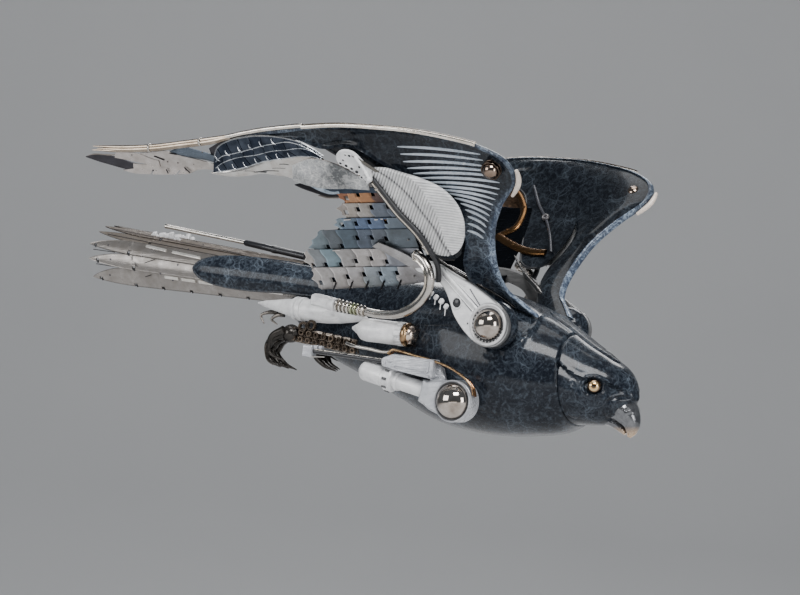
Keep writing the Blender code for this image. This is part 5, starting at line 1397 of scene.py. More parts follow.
def build_pipes():
    """The bent steel pipe as a bar along a smooth curve, with a fine rod a steady way inside the
    bend, the bellows as evenly spaced rings, and the cast ferrule."""
    path = flow(PIPE, 120)
    pipe = bar(path, np.concatenate([[2.4, 3.1], np.full(116, 3.3), [3.1, 2.7]]), 24, LEFT)
    inward = np.array((8.0, -76, -9.5)) - path
    inward[:, 1] = 0
    inner = path + unit(inward) * 3.9 + (0, -0.8, 0)
    # The wire is painted brighter than the steel, a painted highlight along the pipe's inner edge.
    wire = bar(inner[2:84], np.concatenate([np.full(78, 1.0), [0.9, 0.7, 0.5, 0.3]]), 10, LEFT,
               tint=(1.3, 1.28, 1.22))
    start, end = np.array(PIPE[-1], float), np.array((-72.0, -56, -23.5))
    way = end - start
    shapes = [pipe, wire, bar((start, end), 3.0, 20, LEFT),
              hoop(path[3], path[3] - path[0], 3.5, 0.8, 30)]
    for k, share in enumerate(np.linspace(0.04, 0.94, 8)):
        shade = (0.75, 0.85, 0.62) if k in (2, 3) else (1.1, 1.1, 1.1)
        shapes.append(hoop(start + way * share, way, 3.1 + 0.11 * k, 1.35, 36, 1.0, shade))
    make_pair("bent_steel_pipe", shapes, "bright_steel", "bent_pipe")
    far = np.array((-99.0, -54, -17.5))
    run = unit(far - end)
    middle = end + run * 12.5
    shapes = [block(middle + run * 1.5, run, (21.0, 9.2, 9.2), 2.2),
              block(middle + run * 3 + (0, 0, 3.6), run, (12, 3.6, 7), 1.0),
              turned(((0, 0), (4.6, 0), (5.3, 0.8), (5.3, 4.4), (4.7, 5.2), (0, 5.2)),
                     end + run * 0.4, run, 36), hoop(end + run * 7.0, run, 4.9, 0.5, 36),
              screw(middle + (0, -4.6, 1.6), RIGHT, 1.0),
              screw(middle + run * 7 + (0, -4.6, -1.2), RIGHT, 1.0)]
    make_pair("pipe_casting", shapes, "white_cast", "pipe_ferrule")


# Legs

KNEE = np.array((42.0, -60.0, -100.0))
SHIN_END = np.array((-48.0, -60.0, -73.5))
SHIN_WAY = unit(SHIN_END - KNEE)


def build_legs():
    """The knee's ball in its cast ring, a slab round an arc and a tail, and the stepped shin with a
    slotted clamp as a turned profile."""
    out = RIGHT
    place = plane_at(KNEE, SHIN_WAY, out)
    a = np.radians(np.linspace(58, 302, 70))
    ring = np.stack([16.1 * np.cos(a), 16.1 * np.sin(a)], 1)
    tail = np.array(((14, -12.9), (20, -11.4), (26, -9.0), (31, -8.4), (31, 8.6), (26, 9.8),
                     (20, 12.2), (14, 13.2)))
    shapes = [slab(np.concatenate([ring, tail]), 15.0, place, 2.0),
              hoop(KNEE + (0, -7.4, 0), out, 15.5, 0.8, 72, 1.2)]
    shapes.append(slab(((14, -12), (19, -20.5), (24, -22), (27, -12), (27, -8)), 5.0, place, 0.8))
    for x, y, r in ((21.5, -16.5, 2.7), (16.5, -13.6, 1.9)):
        spot = place(x, y, 2.6)
        shapes += [hoop(spot, out, r, 0.8, 28), screw(spot, out, r * 0.45)]
    make_pair("knee_casting", shapes, "grey_cast", "thigh_housing")
    shapes = [ball(KNEE + (0, -3.4, 0), 14.3, 72, (0.2, -1, 0.3)),
              plug(KNEE + (0, 2, 0), LEFT, 6, 24, 24)]
    make_pair("knee_sphere", shapes, "polished_ball", "knee_ball")
    # A dark ring in the gap round the knee's ball and dark bars in the clamp's slots: a painted
    # shade.
    seam = [hoop(KNEE + (0, -7.3, 0), out, 14.2, 0.8, 72, 0.7)]
    for a in np.radians(np.arange(0, 360, 40)):
        side = np.cross(SHIN_WAY, out)
        spot = KNEE + SHIN_WAY * 63 + (np.array(out) * math.cos(a) + side * math.sin(a)) * 9.55
        seam.append(bar((spot - SHIN_WAY * 2.0, spot + SHIN_WAY * 2.0), 1.15, 8, (0.1, 1, 0.2)))
    make_pair("leg_hollows", seam, "dark_rod")
    profile = ((0, 24.4), (5.8, 24.4), (6.2, 25.2), (6.2, 54), (7.4, 54.4), (7.4, 56.2),
               (6.6, 56.6), (6.6, 58.4), (9.0, 58.8), (9.8, 60), (9.8, 65.2), (9.0, 66.2),
               (7.4, 66.6), (7.4, 69.0), (7.9, 69.6), (7.9, 86.6), (7.2, 88.6), (5.2, 90.6),
               (2.4, 91.6), (0, 91.8))
    shapes = [turned(profile, KNEE, SHIN_WAY, 48)]
    make_pair("shin_cylinder", shapes, "white_cast", "shin_tube")
    build_drive(out)


def build_drive(out):
    """The drive box over the shin as slabs, its rods and end block, and the bronze strap, two bars
    along one smooth curve over the box and round the knee."""
    outline = ((-22, -67.0), (-19.5, -65.4), (-10.8, -63.2), (24.6, -68.3), (25.6, -69.4),
               (24.2, -81.6), (22.6, -83.0), (-12.2, -75.2), (-20.6, -72.6), (-22, -71.4))
    shapes = [slab(outline, 11.5, upright_at(-63.0), 0.9)]
    panel = ((-9.4, -65.2), (22.6, -69.9), (21.6, -78.2), (-10.2, -72.4))
    shapes.append(slab(panel, 0.9, upright_at(-69.0), 0.35))
    shapes.append(slab(((-11.4, -73.4), (22.2, -80.0), (21.8, -82.4), (-12, -75.0)), 2.2,
                       upright_at(-69.2), 0.4))
    shapes += [screw((x, -69.2, z), out, 1.3)
               for x, z in ((-13.6, -68.8), (-18.6, -69.6), (19.8, -77.6), (-10.6, -73.0))]
    end = np.array((-96.0, -62, -59))
    way = np.array((-22.0, -64, -68.6)) - end
    shapes += [block(end + (2, 0, -0.2), way, (9.0, 9.4, 7.5), 0.9),
               block(end + (9, 0, 2.6), way, (3.6, 3.0, 4), 0.5),
               block(end + (13.5, 0, 2.2), way, (3.0, 2.6, 4), 0.5)]
    make_pair("drive_box", shapes, "grey_cast", "leg_actuator")
    rods = [bar((end + (6, 0, -0.4), end + way), 1.9, 16, LEFT)]
    make_pair("drive_rod_dark", rods, "dark_rod")
    rods = [bar((end + (6, -0.6, 1.1), end + way + (0, -0.6, 1.5)), 0.8, 10, LEFT),
            bar(flow(((-62, -57, -53.4), (-57.6, -59, -54.8), (-38, -61.5, -58.6),
                      (-20.5, -62, -61.5), (-14, -62.5, -60.6)), 40), 1.25, 12, LEFT),
            bar((end + (3, -2, -4.6), end + (18, -2, -5.2)), 0.6, 8, LEFT)]
    make_pair("drive_rod_bright", rods, "bright_steel")
    strap = np.array(((-17.5, -62.8), (-13.7, -59.9), (-9.0, -60.6), (6, -64.4), (21.4, -68.4),
                      (35.1, -72.8), (47.1, -79.2), (55, -85.3), (58.6, -90.6), (59.6, -96)))
    path = flow(np.stack([strap[:, 0], np.full(len(strap), -65.5), strap[:, 1]], 1), 90)
    shapes = [bar(path, 1.0, 10, LEFT), bar(path + (0.1, 3.0, -0.9), 1.0, 10, LEFT,
            tint=(0.8, 0.6, 0.5))]
    make_pair("knee_strap", shapes, "bronze")


def build_tarsi():
    """The fat cylinder as a turned profile with a nut of twelve blocks at even angles, and the
    bronze collar with a dome turned from a quarter oval."""
    start, end = np.array((-50.5, -55.5, -42.5)), np.array((-7.5, -55.5, -48.0))
    way = unit(end - start)
    length = np.linalg.norm(end - start)
    shapes = [turned(((0, -7), (1.2, -6.6), (4.6, -0.6), (4.2, 0.4), (6.6, 1.6), (8.6, 4.2),
                      (9.2, 8), (9.2, length - 7.0), (8.8, length - 6.4), (8.2, length - 6.0),
                      (8.2, length - 0.6), (0, length)), start, way, 56)]
    side = unit(np.cross(way, UP))
    over = np.cross(side, way)
    for a in np.radians(np.arange(0, 360, 30)):
        spoke = side * math.cos(a) + over * math.sin(a)
        shapes.append(block(start + way * (length - 3.2) + spoke * 8.4, way, (5.6, 2.6, 2.0), 0.35,
                            spoke))
    make_pair("tarsus_casting", shapes, "white_cast", "tarsus_cylinder")
    shapes = [turned(((0, 0.3), (9.2, 0.3), (9.5, 1.0), (9.5, 3.0), (8.8, 4.0), (8.0, 4.4),
                      (8.0, 5.0), (0, 5.0)), end, way, 56)]
    a = np.linspace(0, math.pi / 2, 18)
    dome = turned(np.stack([7.6 * np.cos(a), 4.6 + 5.2 * np.sin(a)], 1), end, way, 56,
                  (1.9, 2.4, 3.6))
    make_pair("tarsus_cap", pool(shapes + [dome]), "bronze", "tarsus_dome")


def build_vents():
    """The pale torpedo, a turned profile with two flange rings, and an oval boss on its side."""
    start, end = np.array((-165.0, -33, -18)), np.array((-55.0, -35, -34))
    way = unit(end - start)
    profile = np.array(((0.4, 0), (2.6, 7), (5.0, 21), (7.0, 33), (7.9, 38.2), (9.3, 38.6),
                        (9.6, 39.4), (9.6, 41.4), (8.0, 42.0), (8.0, 43.8), (9.7, 44.3),
                        (9.7, 47.2), (8.5, 47.8), (8.9, 54), (9.0, 61), (8.5, 71), (7.2, 83),
                        (4.8, 96), (2.2, 106.5), (0.3, 111)))
    shapes = [turned(profile, start, way, 64)]
    spot = start + way * 76
    boss = rounded([(6.2 * math.cos(a), 2.4 * math.sin(a))
                    for a in np.linspace(0, 2 * math.pi, 20, endpoint=False)], 40)
    shapes.append(slab(boss, 2.6, plane_at(spot + (0, -7.6, -0.6), way, (0.05, -1, -0.05)), 0.8))
    shapes.append(screw(spot + (3.4, -8.9, -1.1), RIGHT, 1.1))
    make_pair("torpedo_vent", shapes, "white_cast", "vent_tube")


def build_feet():
    """Drilled claw links, rings at even steps on three rails, a round palm, and curved talons, bars
    that taper along a smooth curve with a sine on their radius for the knuckles."""
    palm = np.array((-130.0, -36, -44))
    middle, run = np.array((-97.0, -38, -50)), np.array((66.0, -2, -13))
    way = unit(run)
    up = np.array((0.193, 0, 0.981))
    out = RIGHT
    brown = np.array((5.0, 4.3, 3.6))
    bright = np.array((9.5, 9.0, 8.4))
    shapes = []
    for k, at in enumerate(np.linspace(-29, 31, 9)):
        spot = middle + way * at
        for lift, r in ((2.7, 2.0), (-2.9, 1.8)):
            shapes.append(hoop(spot + up * lift + (0, -1.6, 0), out, r, 0.75, 24, 1.6,
                               brown * (0.7 + 0.3 * (k % 3))))
        shapes.append(bar((spot + up * 4.6, spot + way * 5 - up * 4.6), 0.7, 8, out,
                          tint=brown * 0.8))
    for lift, tone in ((5.2, bright), (-5.2, brown), (0.0, brown * 0.5)):
        shapes.append(bar((middle - way * 33 + up * lift, middle + way * 33 + up * lift), 0.9, 10,
                          out, tint=tone * 0.6))
    for at in (-4, 6, 15, 24):
        shapes.append(block(middle + way * at + up * 5.3 + (0, -1.4, 0), way, (6.4, 2.2, 1.6), 0.3,
                            tint=bright))
    shapes.append(block(middle + (0, 1.6, 0), way, (64, 8.5, 2.0), 0.8, tint=brown * 0.35))
    for k, (dx, dz) in enumerate(((-2, 3), (6, 4))):
        shapes.append(hoop(palm + np.array((16 + dx, -3.0, 2 + dz)), out, 3.4, 1.2, 28, 2.0,
                           brown * 0.6))
    shapes.append(ball(palm, 7.6, 28, out))
    for k in range(3):
        s = 7 * (k - 0.9)
        path = [palm + (8, 0.2 * s, 2), palm + (0, 0.3 * s, 0),
                palm + (-10 - 2 * k, 0.8 * s, -2 - 3 * k), palm + (-18 - k, s, -9 - 3 * k),
                palm + (-17 + 2 * k, s, -20 - 1.5 * k), palm + (-6 + 3 * k, s, -27 - k)]
        smooth = flow(path, 48)
        taper = np.interp(np.linspace(0, 1, 48), (0, 0.2, 0.4, 0.5, 0.75, 1),
                          (3.4, 3.4, 3.2, 3.4, 2.3, 0.4))
        knuckles = 1 + 0.12 * np.sin(np.linspace(0, 1, 48) * 26) * (np.linspace(0, 1, 48) < 0.5)
        shapes.append(bar(smooth, taper * knuckles, 16, out))
        shapes.append(bar(smooth[14:44] + (-0.6, -3.0, -0.6), np.linspace(0.6, 0.2, 30), 8, out,
                          tint=bright * 0.35))
    for points in (((-150, -27, -26), (-158, -29, -26), (-164, -30, -28), (-161, -30.5, -35)),
                   ((-143, -27, -28), (-149, -29, -28.5), (-153.5, -30, -31.5),
                    (-147.5, -31, -36))):
        shapes.append(bar(flow(points, 24), np.linspace(2.2, 0.5, 24), 10, out,
                          tint=np.linspace(1, 6, 24)[:, None, None] * np.ones(3)))
    shapes.append(bar(flow((palm + (-2, -7, 3), palm + (-14, -8, -3), palm + (-16, -8, -14),
                            palm + (-2, -7, -22)), 30), np.linspace(3.6, 0.5, 30), 12, out))
    make_pair("talons", shapes, "dark_iron", "foot")


# Tail

def barrel_at(along, angle, lift):
    """A place on the tail's barrel: along is 0 at the root and 1 at the tips, and angle is in
    degrees up from -Y."""
    along, angle, lift = np.broadcast_arrays(along, angle, lift)
    radius = TAIL_RADII[0] + (TAIL_RADII[1] - TAIL_RADII[0]) * along + lift
    turn = np.radians(angle)
    x = TAIL_ENDS[0] + (TAIL_ENDS[1] - TAIL_ENDS[0]) * along
    z = TAIL_HEIGHTS[0] + (TAIL_HEIGHTS[1] - TAIL_HEIGHTS[0]) * along
    return np.stack([x, -radius * np.cos(turn), z + radius * np.sin(turn)], -1)


# Low and high edge and tip in degrees, how far the blade reaches, its height, notches and tint
TAIL_BLADES = (
    (-50, -10, -38, 0.9996, 0.0, (0.195, 0.337, 0.486, 0.633, 0.778, 0.955), (0.62, 0.60, 0.58)),
    (-13.5, 14, -3.7, 0.9996, 0.75, (0.759, 0.95), (0.58, 0.565, 0.55)),
    (12.5, 40, 21.5, 0.9996, 1.5, (0.786, 0.965), (0.56, 0.54, 0.52)),
    (37.5, 58, 50.3, 0.985, 0.9, (0.7,), (0.62, 0.56, 0.50)),
    (55, 76, 67.3, 0.978, 1.6, (0.66,), (0.56, 0.50, 0.45)),
    (73, 89.6, 85, 0.965, 0.9, (), (0.50, 0.46, 0.42)),
)


# Half a notch's length and its depth in degrees, and the share of a blade that closes to its tip
NOTCH_HALF, NOTCH_DEPTH, TIP_SHARE = 0.0075, 6.5, 0.24


def build_tail_blades():
    """Six curved blades a side, which taper from the tip's oval points to the root, with notched
    low edges, slits, rivets and pale strips."""
    shapes, pins = [], []
    for low, high, point, reach, lift, notches, tone in TAIL_BLADES:
        corners = np.array([n + side * NOTCH_HALF + e for n in notches for side in (-1, 1)
                            for e in (-0.0002, 0.0002)])
        close_from = reach - TIP_SHARE
        ending = close_from + TIP_SHARE * np.sin(np.linspace(0, math.pi / 2, 26))
        s = np.unique(np.concatenate([np.linspace(-0.06, close_from, 30), ending, corners]))
        s = s[s <= reach]
        closing = np.clip((s - close_from) / TIP_SHARE, 0, 1)
        open_share = (1 - closing ** 1.9) ** 0.85
        cut = sum((np.abs(s - n) < NOTCH_HALF) * 1.0 for n in notches) if notches else 0 * s
        low_edge = point + (low - point) * open_share
        high_edge = point + (high - point) * open_share
        for n in notches:
            spots = barrel_at(np.array((n, n)), np.interp(n, s, low_edge) + np.array((-1.5, 3.5)),
                              lift + 0.1)
            pins.append(bar(spots, 0.75, 6, (1, 0, 0)))
        low_edge = low_edge + cut * np.minimum(NOTCH_DEPTH, (high_edge - low_edge) * 0.6)
        height = lift + 0 * s
        far = 1.0 + 0.1 * step(0.72, 0.75, s) - 0.15 * step(0.3, 0.0, s)
        # Each blade is painted darker along both edges, a painted shade where the blades lap over
        # each other.
        painted_edge_shade = 1 - 0.75 * np.exp(-(np.minimum(ACROSS, 1 - ACROSS) / 0.03) ** 2)
        tint = np.array(tone) * far[:, None, None] * painted_edge_shade[None, :, None]
        shapes.append(leaf(barrel_at, np.stack([s, low_edge], 1), np.stack([s, high_edge], 1),
                           height[:, None], 0.7, 0.2, 0.3, tint))
    grey = np.array((0.04, 0.04, 0.05))
    for (a0, g0), (a1, g1), lift in (((0.699, 2.5), (0.648, 11.8), 1.35),
                                     ((0.707, -24.2), (0.672, -18.6), 0.65),
                                     ((0.86, 13.6), (0.975, 12.9), 1.4),
                                     ((0.85, -12.2), (0.96, -11.4), 0.7),
                                     ((0.24, 41), (0.93, 47), 1.5), ((0.24, 58), (0.93, 63), 2.0)):
        at = np.linspace(0, 1, 24)
        path = barrel_at(a0 + (a1 - a0) * at, g0 + (g1 - g0) * at, lift)
        shapes.append(bar(path, 0.35, 6, (0, -1, 0.3), tint=grey))
    for a, g, lift in ((0.528, 8.1, 1.2), (0.62, -13.2, 1.1), (0.563, -24.1, 0.5), (0.9, -30, 0.5),
                       (0.88, 0, 1.2), (0.9, 24, 1.9), (0.5, 45, 1.4), (0.45, 66, 2.0)):
        way = barrel_at(a, g, lift + 1) - barrel_at(a, g, lift)
        shapes.append(screw(barrel_at(a, g, lift), way, 0.8, grey * 4))
    white = np.array((1.55, 1.55, 1.5))
    strips = [(0.706, 0.60, 34.2, 32.0, 2.2), (0.565, 0.42, 31.2, 28.4, 2.2)]
    strips += [(0.60 - 0.088 * k, 0.53 - 0.088 * k, -19.1 - 0.4 * k, -19.4 - 0.4 * k, 0.9)
               for k in range(7)]
    for a0, a1, g0, g1, lift in strips:
        s = np.linspace(a0, a1, 8)
        mid = np.linspace(g0, g1, 8)
        shapes.append(leaf(barrel_at, np.stack([s, mid - 2.6], 1), np.stack([s, mid + 2.6], 1),
                           lift, 0.9, 0.2, 0.0, white))
    make_pair("tail_blades", shapes, "blade_steel", "tail_feathers")
    make_pair("tail_pins", pins, "dark_rod")


def build_tail_fittings():
    """The cover over the blades' roots, an oval on the tail's barrel domed as 1 - t^2, the row of
    lugs, and the sleeve and strut as turned profiles."""
    s = np.concatenate([np.linspace(-0.22, 0.3, 44),
                        0.3 + 0.146 * np.sin(np.linspace(0.03, math.pi / 2, 26))])[:, None]
    t = np.linspace(-1, 1, 61)[None]
    half = 42 * np.sqrt(np.clip(1 - (np.maximum(s - 0.02, 0) / 0.428) ** 3.0, 0.0004, 1))
    middle = 21 - 34 * np.maximum(s, 0)
    edge = np.minimum(1 - np.abs(t), 1) * half * 0.4
    dome = (2.6 + 2.6 * (1 - t ** 2) * np.minimum(half / 40, 1) - 1.0 * (1 - step(0, 1.2, edge))
            + 0.5 * bell(edge - 2.2, 0.5))
    back = np.linspace(1, -1, 9)[None]
    points = np.concatenate([barrel_at(s, middle + half * t, dome),
                             barrel_at(s, middle + half * back, 1.6)], 1)
    make_pair("tail_root_cover", sheet(points, wrap=True, caps=True, tint=np.full(3, 1.3)),
              "marbled_enamel", "tail_cover")
    shapes = []
    for at, tall, long in ((0.705, 3.2, 3.4), (0.665, 3.4, 6.0), (0.641, 3.4, 3.6),
                           (0.623, 2.8, 3.0), (0.612, 5.6, 3.4), (0.586, 3.4, 3.2)):
        base = barrel_at(at, 68, 1.9)
        way = barrel_at(at, 68, 3.0) - base
        shapes.append(block(base + way * tall / 2, way, (tall, long, 3.0), 0.6))
    path = barrel_at(np.linspace(0.57, 0.725, 12), 68, 2.0)
    shapes.append(bar(path, 1.1, 8, (0, -1, 0.3), tint=(0.9, 0.9, 0.9)))
    make_pair("tail_lugs", shapes, "white_cast", "tail_brackets")
    foot, elbow, tip = np.array(((-141.0, 0, 20.5), (-203.0, 0, 34.5), (-288.0, 0, 52.2)))
    way = elbow - foot
    long = np.linalg.norm(way)
    sleeve = turned(((0, 0), (3.0, 0.4), (3.0, long * 0.46), (3.3, long * 0.47), (3.3, long * 0.53),
                     (2.8, long * 0.54), (2.6, long - 2), (1.9, long), (0, long)), foot, way, 32)
    make_piece("strut_sleeve", sleeve, "dark_rod", "tail_sleeve")
    way = tip - elbow
    long = np.linalg.norm(way)
    strut = turned(((0, -8), (1.7, -8), (1.7, long - 6), (1.9, long - 5.6), (1.9, long - 2),
                    (1.2, long - 1), (0, long)), elbow, way, 24)
    make_piece("strut_rod", strut, "bright_steel", "tail_strut")


# Stage

# The camera's seat and aim in metres and its lens and sensor in millimetres, and each light's name,
# place, size in metres and watts
CAMERA_SEAT, CAMERA_AIM = (1.12580, -1.80905, -0.12866), (-0.04901, 0.0, -0.01562)
LENS, SENSOR = 121.5, 36.0
LIGHTS_AIM = (0.0, -0.03, -0.02)
LIGHTS = (("key", (0.9, -1.1, 1.3), (0.9, 0.6), 34), ("fill", (-0.9, -1.7, 0.5), (1.2, 0.9), 16),
          ("front", (1.9, -0.5, 0.1), (0.5, 0.9), 12), ("low", (0.5, -1.5, -0.36), (1.4, 0.3), 1.6),
          ("rim", (-0.4, 1.3, 1.2), (1.4, 0.5), 20), ("top", (0.0, 0.0, 1.7), (1.2, 1.2), 16))
# The floor in metres: how far it lies under the origin, its near edge, the start and radius of the
# bend at its back, the backdrop's height, half its width, and the ways of its depth and its width
FLOOR_DROP, FLOOR_NEAR, BEND_START, BEND_RADIUS = 0.42, -4.0, 2.2, 1.2
BACKDROP_TOP, HALF_WIDTH = 4.5, 4.0
DEPTH_WAY, WIDTH_WAY = np.array((-0.5446, 0.8387, 0.0)), np.array((0.8387, 0.5446, 0.0))


def facing(place, aim):
    """The turn of a camera or light at place that looks at aim, with Z up."""
    return (Vector(aim) - Vector(place)).to_track_quat("-Z", "Y").to_euler()


def build_stage():
    """A pale floor that turns up through a quarter circle into a backdrop, soft studio lights and
    the camera."""
    bend = np.linspace(0.05, math.pi / 2, 24)
    depth = np.concatenate([np.linspace(FLOOR_NEAR, BEND_START, 24),
                            BEND_START + BEND_RADIUS * np.sin(bend),
                            np.full(10, BEND_START + BEND_RADIUS)])
    height = np.concatenate([np.zeros(24), BEND_RADIUS * (1 - np.cos(bend)),
                             np.linspace(BEND_RADIUS + 0.1, BACKDROP_TOP, 10)]) - FLOOR_DROP
    wide = np.linspace(-HALF_WIDTH, HALF_WIDTH, 20)
    points = (depth[:, None, None] * DEPTH_WAY + wide[None, :, None] * WIDTH_WAY
              + height[:, None, None] * UP)
    verts, faces, _ = sheet(points)
    mesh = bpy.data.meshes.new("floor")
    mesh.from_pydata(verts.tolist(), [], [face[::-1] for face in faces])
    mesh.shade_smooth()
    material, tree, shader, place = start_material("pale floor")
    noise = add(tree, "ShaderNodeTexNoise", {"Vector": place, "Scale": 3.0, "Detail": 3.0})
    tree.links.new(blend_colour(tree, noise.outputs["Fac"], (0.66, 0.66, 0.665),
                                (0.70, 0.70, 0.70)), shader.inputs["Base Color"])
    shader.inputs["Roughness"].default_value = 0.9
    mesh.materials.append(material)
    floor = bpy.data.objects.new("floor", mesh)
    bpy.context.scene.collection.objects.link(floor)
    world = bpy.data.worlds.new("studio")
    world.use_nodes = True
    sky = world.node_tree.nodes["Background"]
    sky.inputs["Color"].default_value = (0.55, 0.6, 0.66, 1)
    sky.inputs["Strength"].default_value = 0.25
    bpy.context.scene.world = world
    for name, place, size, power in LIGHTS:
        light = bpy.data.lights.new(name, "AREA")
        light.shape = "RECTANGLE"
        light.size, light.size_y = size
        light.energy = power
        lamp = bpy.data.objects.new(name, light)
        lamp.location = place
        lamp.rotation_euler = facing(place, LIGHTS_AIM)
        bpy.context.scene.collection.objects.link(lamp)
    camera = bpy.data.cameras.new("camera")
    camera.lens, camera.sensor_width = LENS, SENSOR
    seat = bpy.data.objects.new("camera", camera)
    seat.location = CAMERA_SEAT
    seat.rotation_euler = facing(CAMERA_SEAT, CAMERA_AIM)
    bpy.context.scene.collection.objects.link(seat)
    bpy.context.scene.camera = seat


class FALCON_OT_finishes(bpy.types.Operator):
    """Mix the finishes and paint the CAD nodes that stay in view"""
    bl_idname = "falcon.finishes"
    bl_label = "Finishes"

    def execute(self, context):
        FINISH.update(make_materials(context.scene.falcon_colours))
        for row in frame["record"]["subparts"]:
            mesh = frame["nodes"][row["node"]].data
            mesh.materials.clear()
            mesh.materials.append(FINISH[row["material_slot"]])
        return {"FINISHED"}


class FALCON_OT_body(bpy.types.Operator):
    """Build the body's shell, the head and the crown plate"""
    bl_idname = "falcon.body"
    bl_label = "Body and Head"

    def execute(self, context):
        build_body(context.scene.falcon_sizes)
        build_head()
        build_crown(context.scene.falcon_sizes)
        return {"FINISHED"}


class FALCON_OT_bill(bpy.types.Operator):
    """Build the bill and the eyes"""
    bl_idname = "falcon.bill"
    bl_label = "Bill and Eyes"

    def execute(self, context):
        build_bill()
        return {"FINISHED"}


class FALCON_OT_wing_skins(bpy.types.Operator):
    """Build the wings' rolled skins and the wrist bearings"""
    bl_idname = "falcon.wing_skins"
    bl_label = "Wing Skins"

    def execute(self, context):
        build_wing_skins(context.scene.falcon_sizes)
        return {"FINISHED"}


class FALCON_OT_rails(bpy.types.Operator):
    """Build the trim along the wings' leading edges"""
    bl_idname = "falcon.rails"
    bl_label = "Wing Edge Trim"

    def execute(self, context):
        build_rails()
        return {"FINISHED"}


class FALCON_OT_ribs(bpy.types.Operator):
    """Build the ribs under the wings' skins"""
    bl_idname = "falcon.ribs"
    bl_label = "Wing Ribs"

    def execute(self, context):
        build_ribs(context.scene.falcon_sizes)
        return {"FINISHED"}


class FALCON_OT_wing_backs(bpy.types.Operator):
    """Build the panels behind the grooved plates and the works on the wings' upper side"""
    bl_idname = "falcon.wing_backs"
    bl_label = "Wing Backs"

    def execute(self, context):
        build_back_panel()
        build_wing_backs()
        return {"FINISHED"}


class FALCON_OT_primaries(bpy.types.Operator):
    """Build the pale blades at the wings' tips"""
    bl_idname = "falcon.primaries"
    bl_label = "Wing Tip Blades"

    def execute(self, context):
        build_primaries()
        return {"FINISHED"}


class FALCON_OT_coverts(bpy.types.Operator):
    """Build the bands of small dark plates over the silver band"""
    bl_idname = "falcon.coverts"
    bl_label = "Covert Bands"

    def execute(self, context):
        build_coverts()
        return {"FINISHED"}


class FALCON_OT_secondaries(bpy.types.Operator):
    """Build the notched rows behind the arms"""
    bl_idname = "falcon.secondaries"
    bl_label = "Inner Blades"

    def execute(self, context):
        build_secondaries()
        return {"FINISHED"}


class FALCON_OT_plates(bpy.types.Operator):
    """Build the pale grooved plates"""
    bl_idname = "falcon.plates"
    bl_label = "Herringbone Plates"

    def execute(self, context):
        build_feather_plate()
        return {"FINISHED"}


class FALCON_OT_links(bpy.types.Operator):
    """Build the drilled links and the push rods"""
    bl_idname = "falcon.links"
    bl_label = "Wing Links"

    def execute(self, context):
        build_link()
        return {"FINISHED"}


class FALCON_OT_arms(bpy.types.Operator):
    """Build the arms and the shoulder balls"""
    bl_idname = "falcon.arms"
    bl_label = "Arms"

    def execute(self, context):
        build_arms()
        return {"FINISHED"}


class FALCON_OT_pipes(bpy.types.Operator):
    """Build the bent pipes, bellows and ferrules"""
    bl_idname = "falcon.pipes"
    bl_label = "Pipes"

    def execute(self, context):
        build_pipes()
        return {"FINISHED"}


class FALCON_OT_legs(bpy.types.Operator):
    """Build the knees, shins and drive boxes"""
    bl_idname = "falcon.legs"
    bl_label = "Legs"

    def execute(self, context):
        build_legs()
        return {"FINISHED"}


class FALCON_OT_tarsi(bpy.types.Operator):
    """Build the fat cylinders with their nuts and domes"""
    bl_idname = "falcon.tarsi"
    bl_label = "Tarsi"

    def execute(self, context):
        build_tarsi()
        return {"FINISHED"}


class FALCON_OT_vents(bpy.types.Operator):
    """Build the torpedo tubes"""
    bl_idname = "falcon.vents"
    bl_label = "Vents"

    def execute(self, context):
        build_vents()
        return {"FINISHED"}


class FALCON_OT_feet(bpy.types.Operator):
    """Build the claw links and talons"""
    bl_idname = "falcon.feet"
    bl_label = "Feet"

    def execute(self, context):
        build_feet()
        return {"FINISHED"}


class FALCON_OT_tail_blades(bpy.types.Operator):
    """Build the tail's fan of blades"""
    bl_idname = "falcon.tail_blades"
    bl_label = "Tail Blades"

    def execute(self, context):
        build_tail_blades()
        return {"FINISHED"}


class FALCON_OT_tail_fittings(bpy.types.Operator):
    """Build the tail's covers, lugs and strut"""
    bl_idname = "falcon.tail_fittings"
    bl_label = "Tail Fittings"

    def execute(self, context):
        build_tail_fittings()
        return {"FINISHED"}


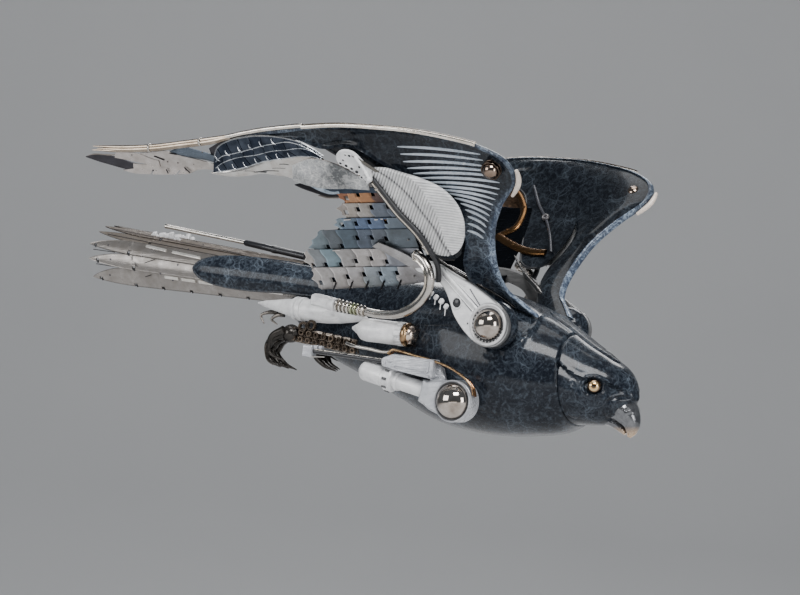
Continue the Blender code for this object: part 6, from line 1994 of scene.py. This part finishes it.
class FALCON_OT_stage(bpy.types.Operator):
    """Set the floor, the lights and the camera"""
    bl_idname = "falcon.stage"
    bl_label = "Stage"

    def execute(self, context):
        build_stage()
        return {"FINISHED"}


STEPS = ("finishes", "body", "bill", "wing_skins", "rails", "ribs", "wing_backs", "primaries",
         "coverts", "secondaries", "plates", "links",
         "arms", "pipes", "legs", "tarsi", "vents", "feet", "tail_blades", "tail_fittings", "stage")


class FALCON_PT_panel(bpy.types.Panel):
    """The falcon's pieces, sizes and colours"""
    bl_idname = "FALCON_PT_panel"
    bl_label = "Mechanical Falcon"
    bl_space_type = "VIEW_3D"
    bl_region_type = "UI"
    bl_category = "Falcon"

    def draw(self, context):
        for group in (context.scene.falcon_sizes, context.scene.falcon_colours):
            for prop in group.bl_rna.properties:
                if prop.identifier not in ("name", "rna_type"):
                    self.layout.prop(group, prop.identifier)
        for name in STEPS:
            self.layout.operator(f"falcon.{name}")


CLASSES = (FalconSizes, FalconColours, FALCON_OT_finishes, FALCON_OT_body, FALCON_OT_bill,
           FALCON_OT_wing_skins, FALCON_OT_rails, FALCON_OT_ribs, FALCON_OT_wing_backs,
           FALCON_OT_primaries, FALCON_OT_coverts, FALCON_OT_secondaries,
           FALCON_OT_plates, FALCON_OT_links, FALCON_OT_arms, FALCON_OT_pipes, FALCON_OT_legs,
           FALCON_OT_tarsi, FALCON_OT_vents, FALCON_OT_feet, FALCON_OT_tail_blades,
           FALCON_OT_tail_fittings,
           FALCON_OT_stage, FALCON_PT_panel)


def register():
    for cls in CLASSES:
        bpy.utils.register_class(cls)
    bpy.types.Scene.falcon_sizes = bpy.props.PointerProperty(type=FalconSizes)
    bpy.types.Scene.falcon_colours = bpy.props.PointerProperty(type=FalconColours)


def unregister():
    del bpy.types.Scene.falcon_sizes
    del bpy.types.Scene.falcon_colours
    for cls in reversed(CLASSES):
        bpy.utils.unregister_class(cls)


def main():
    register()
    for name in STEPS:
        getattr(bpy.ops.falcon, name)()


if __name__ == "__main__":
    main()
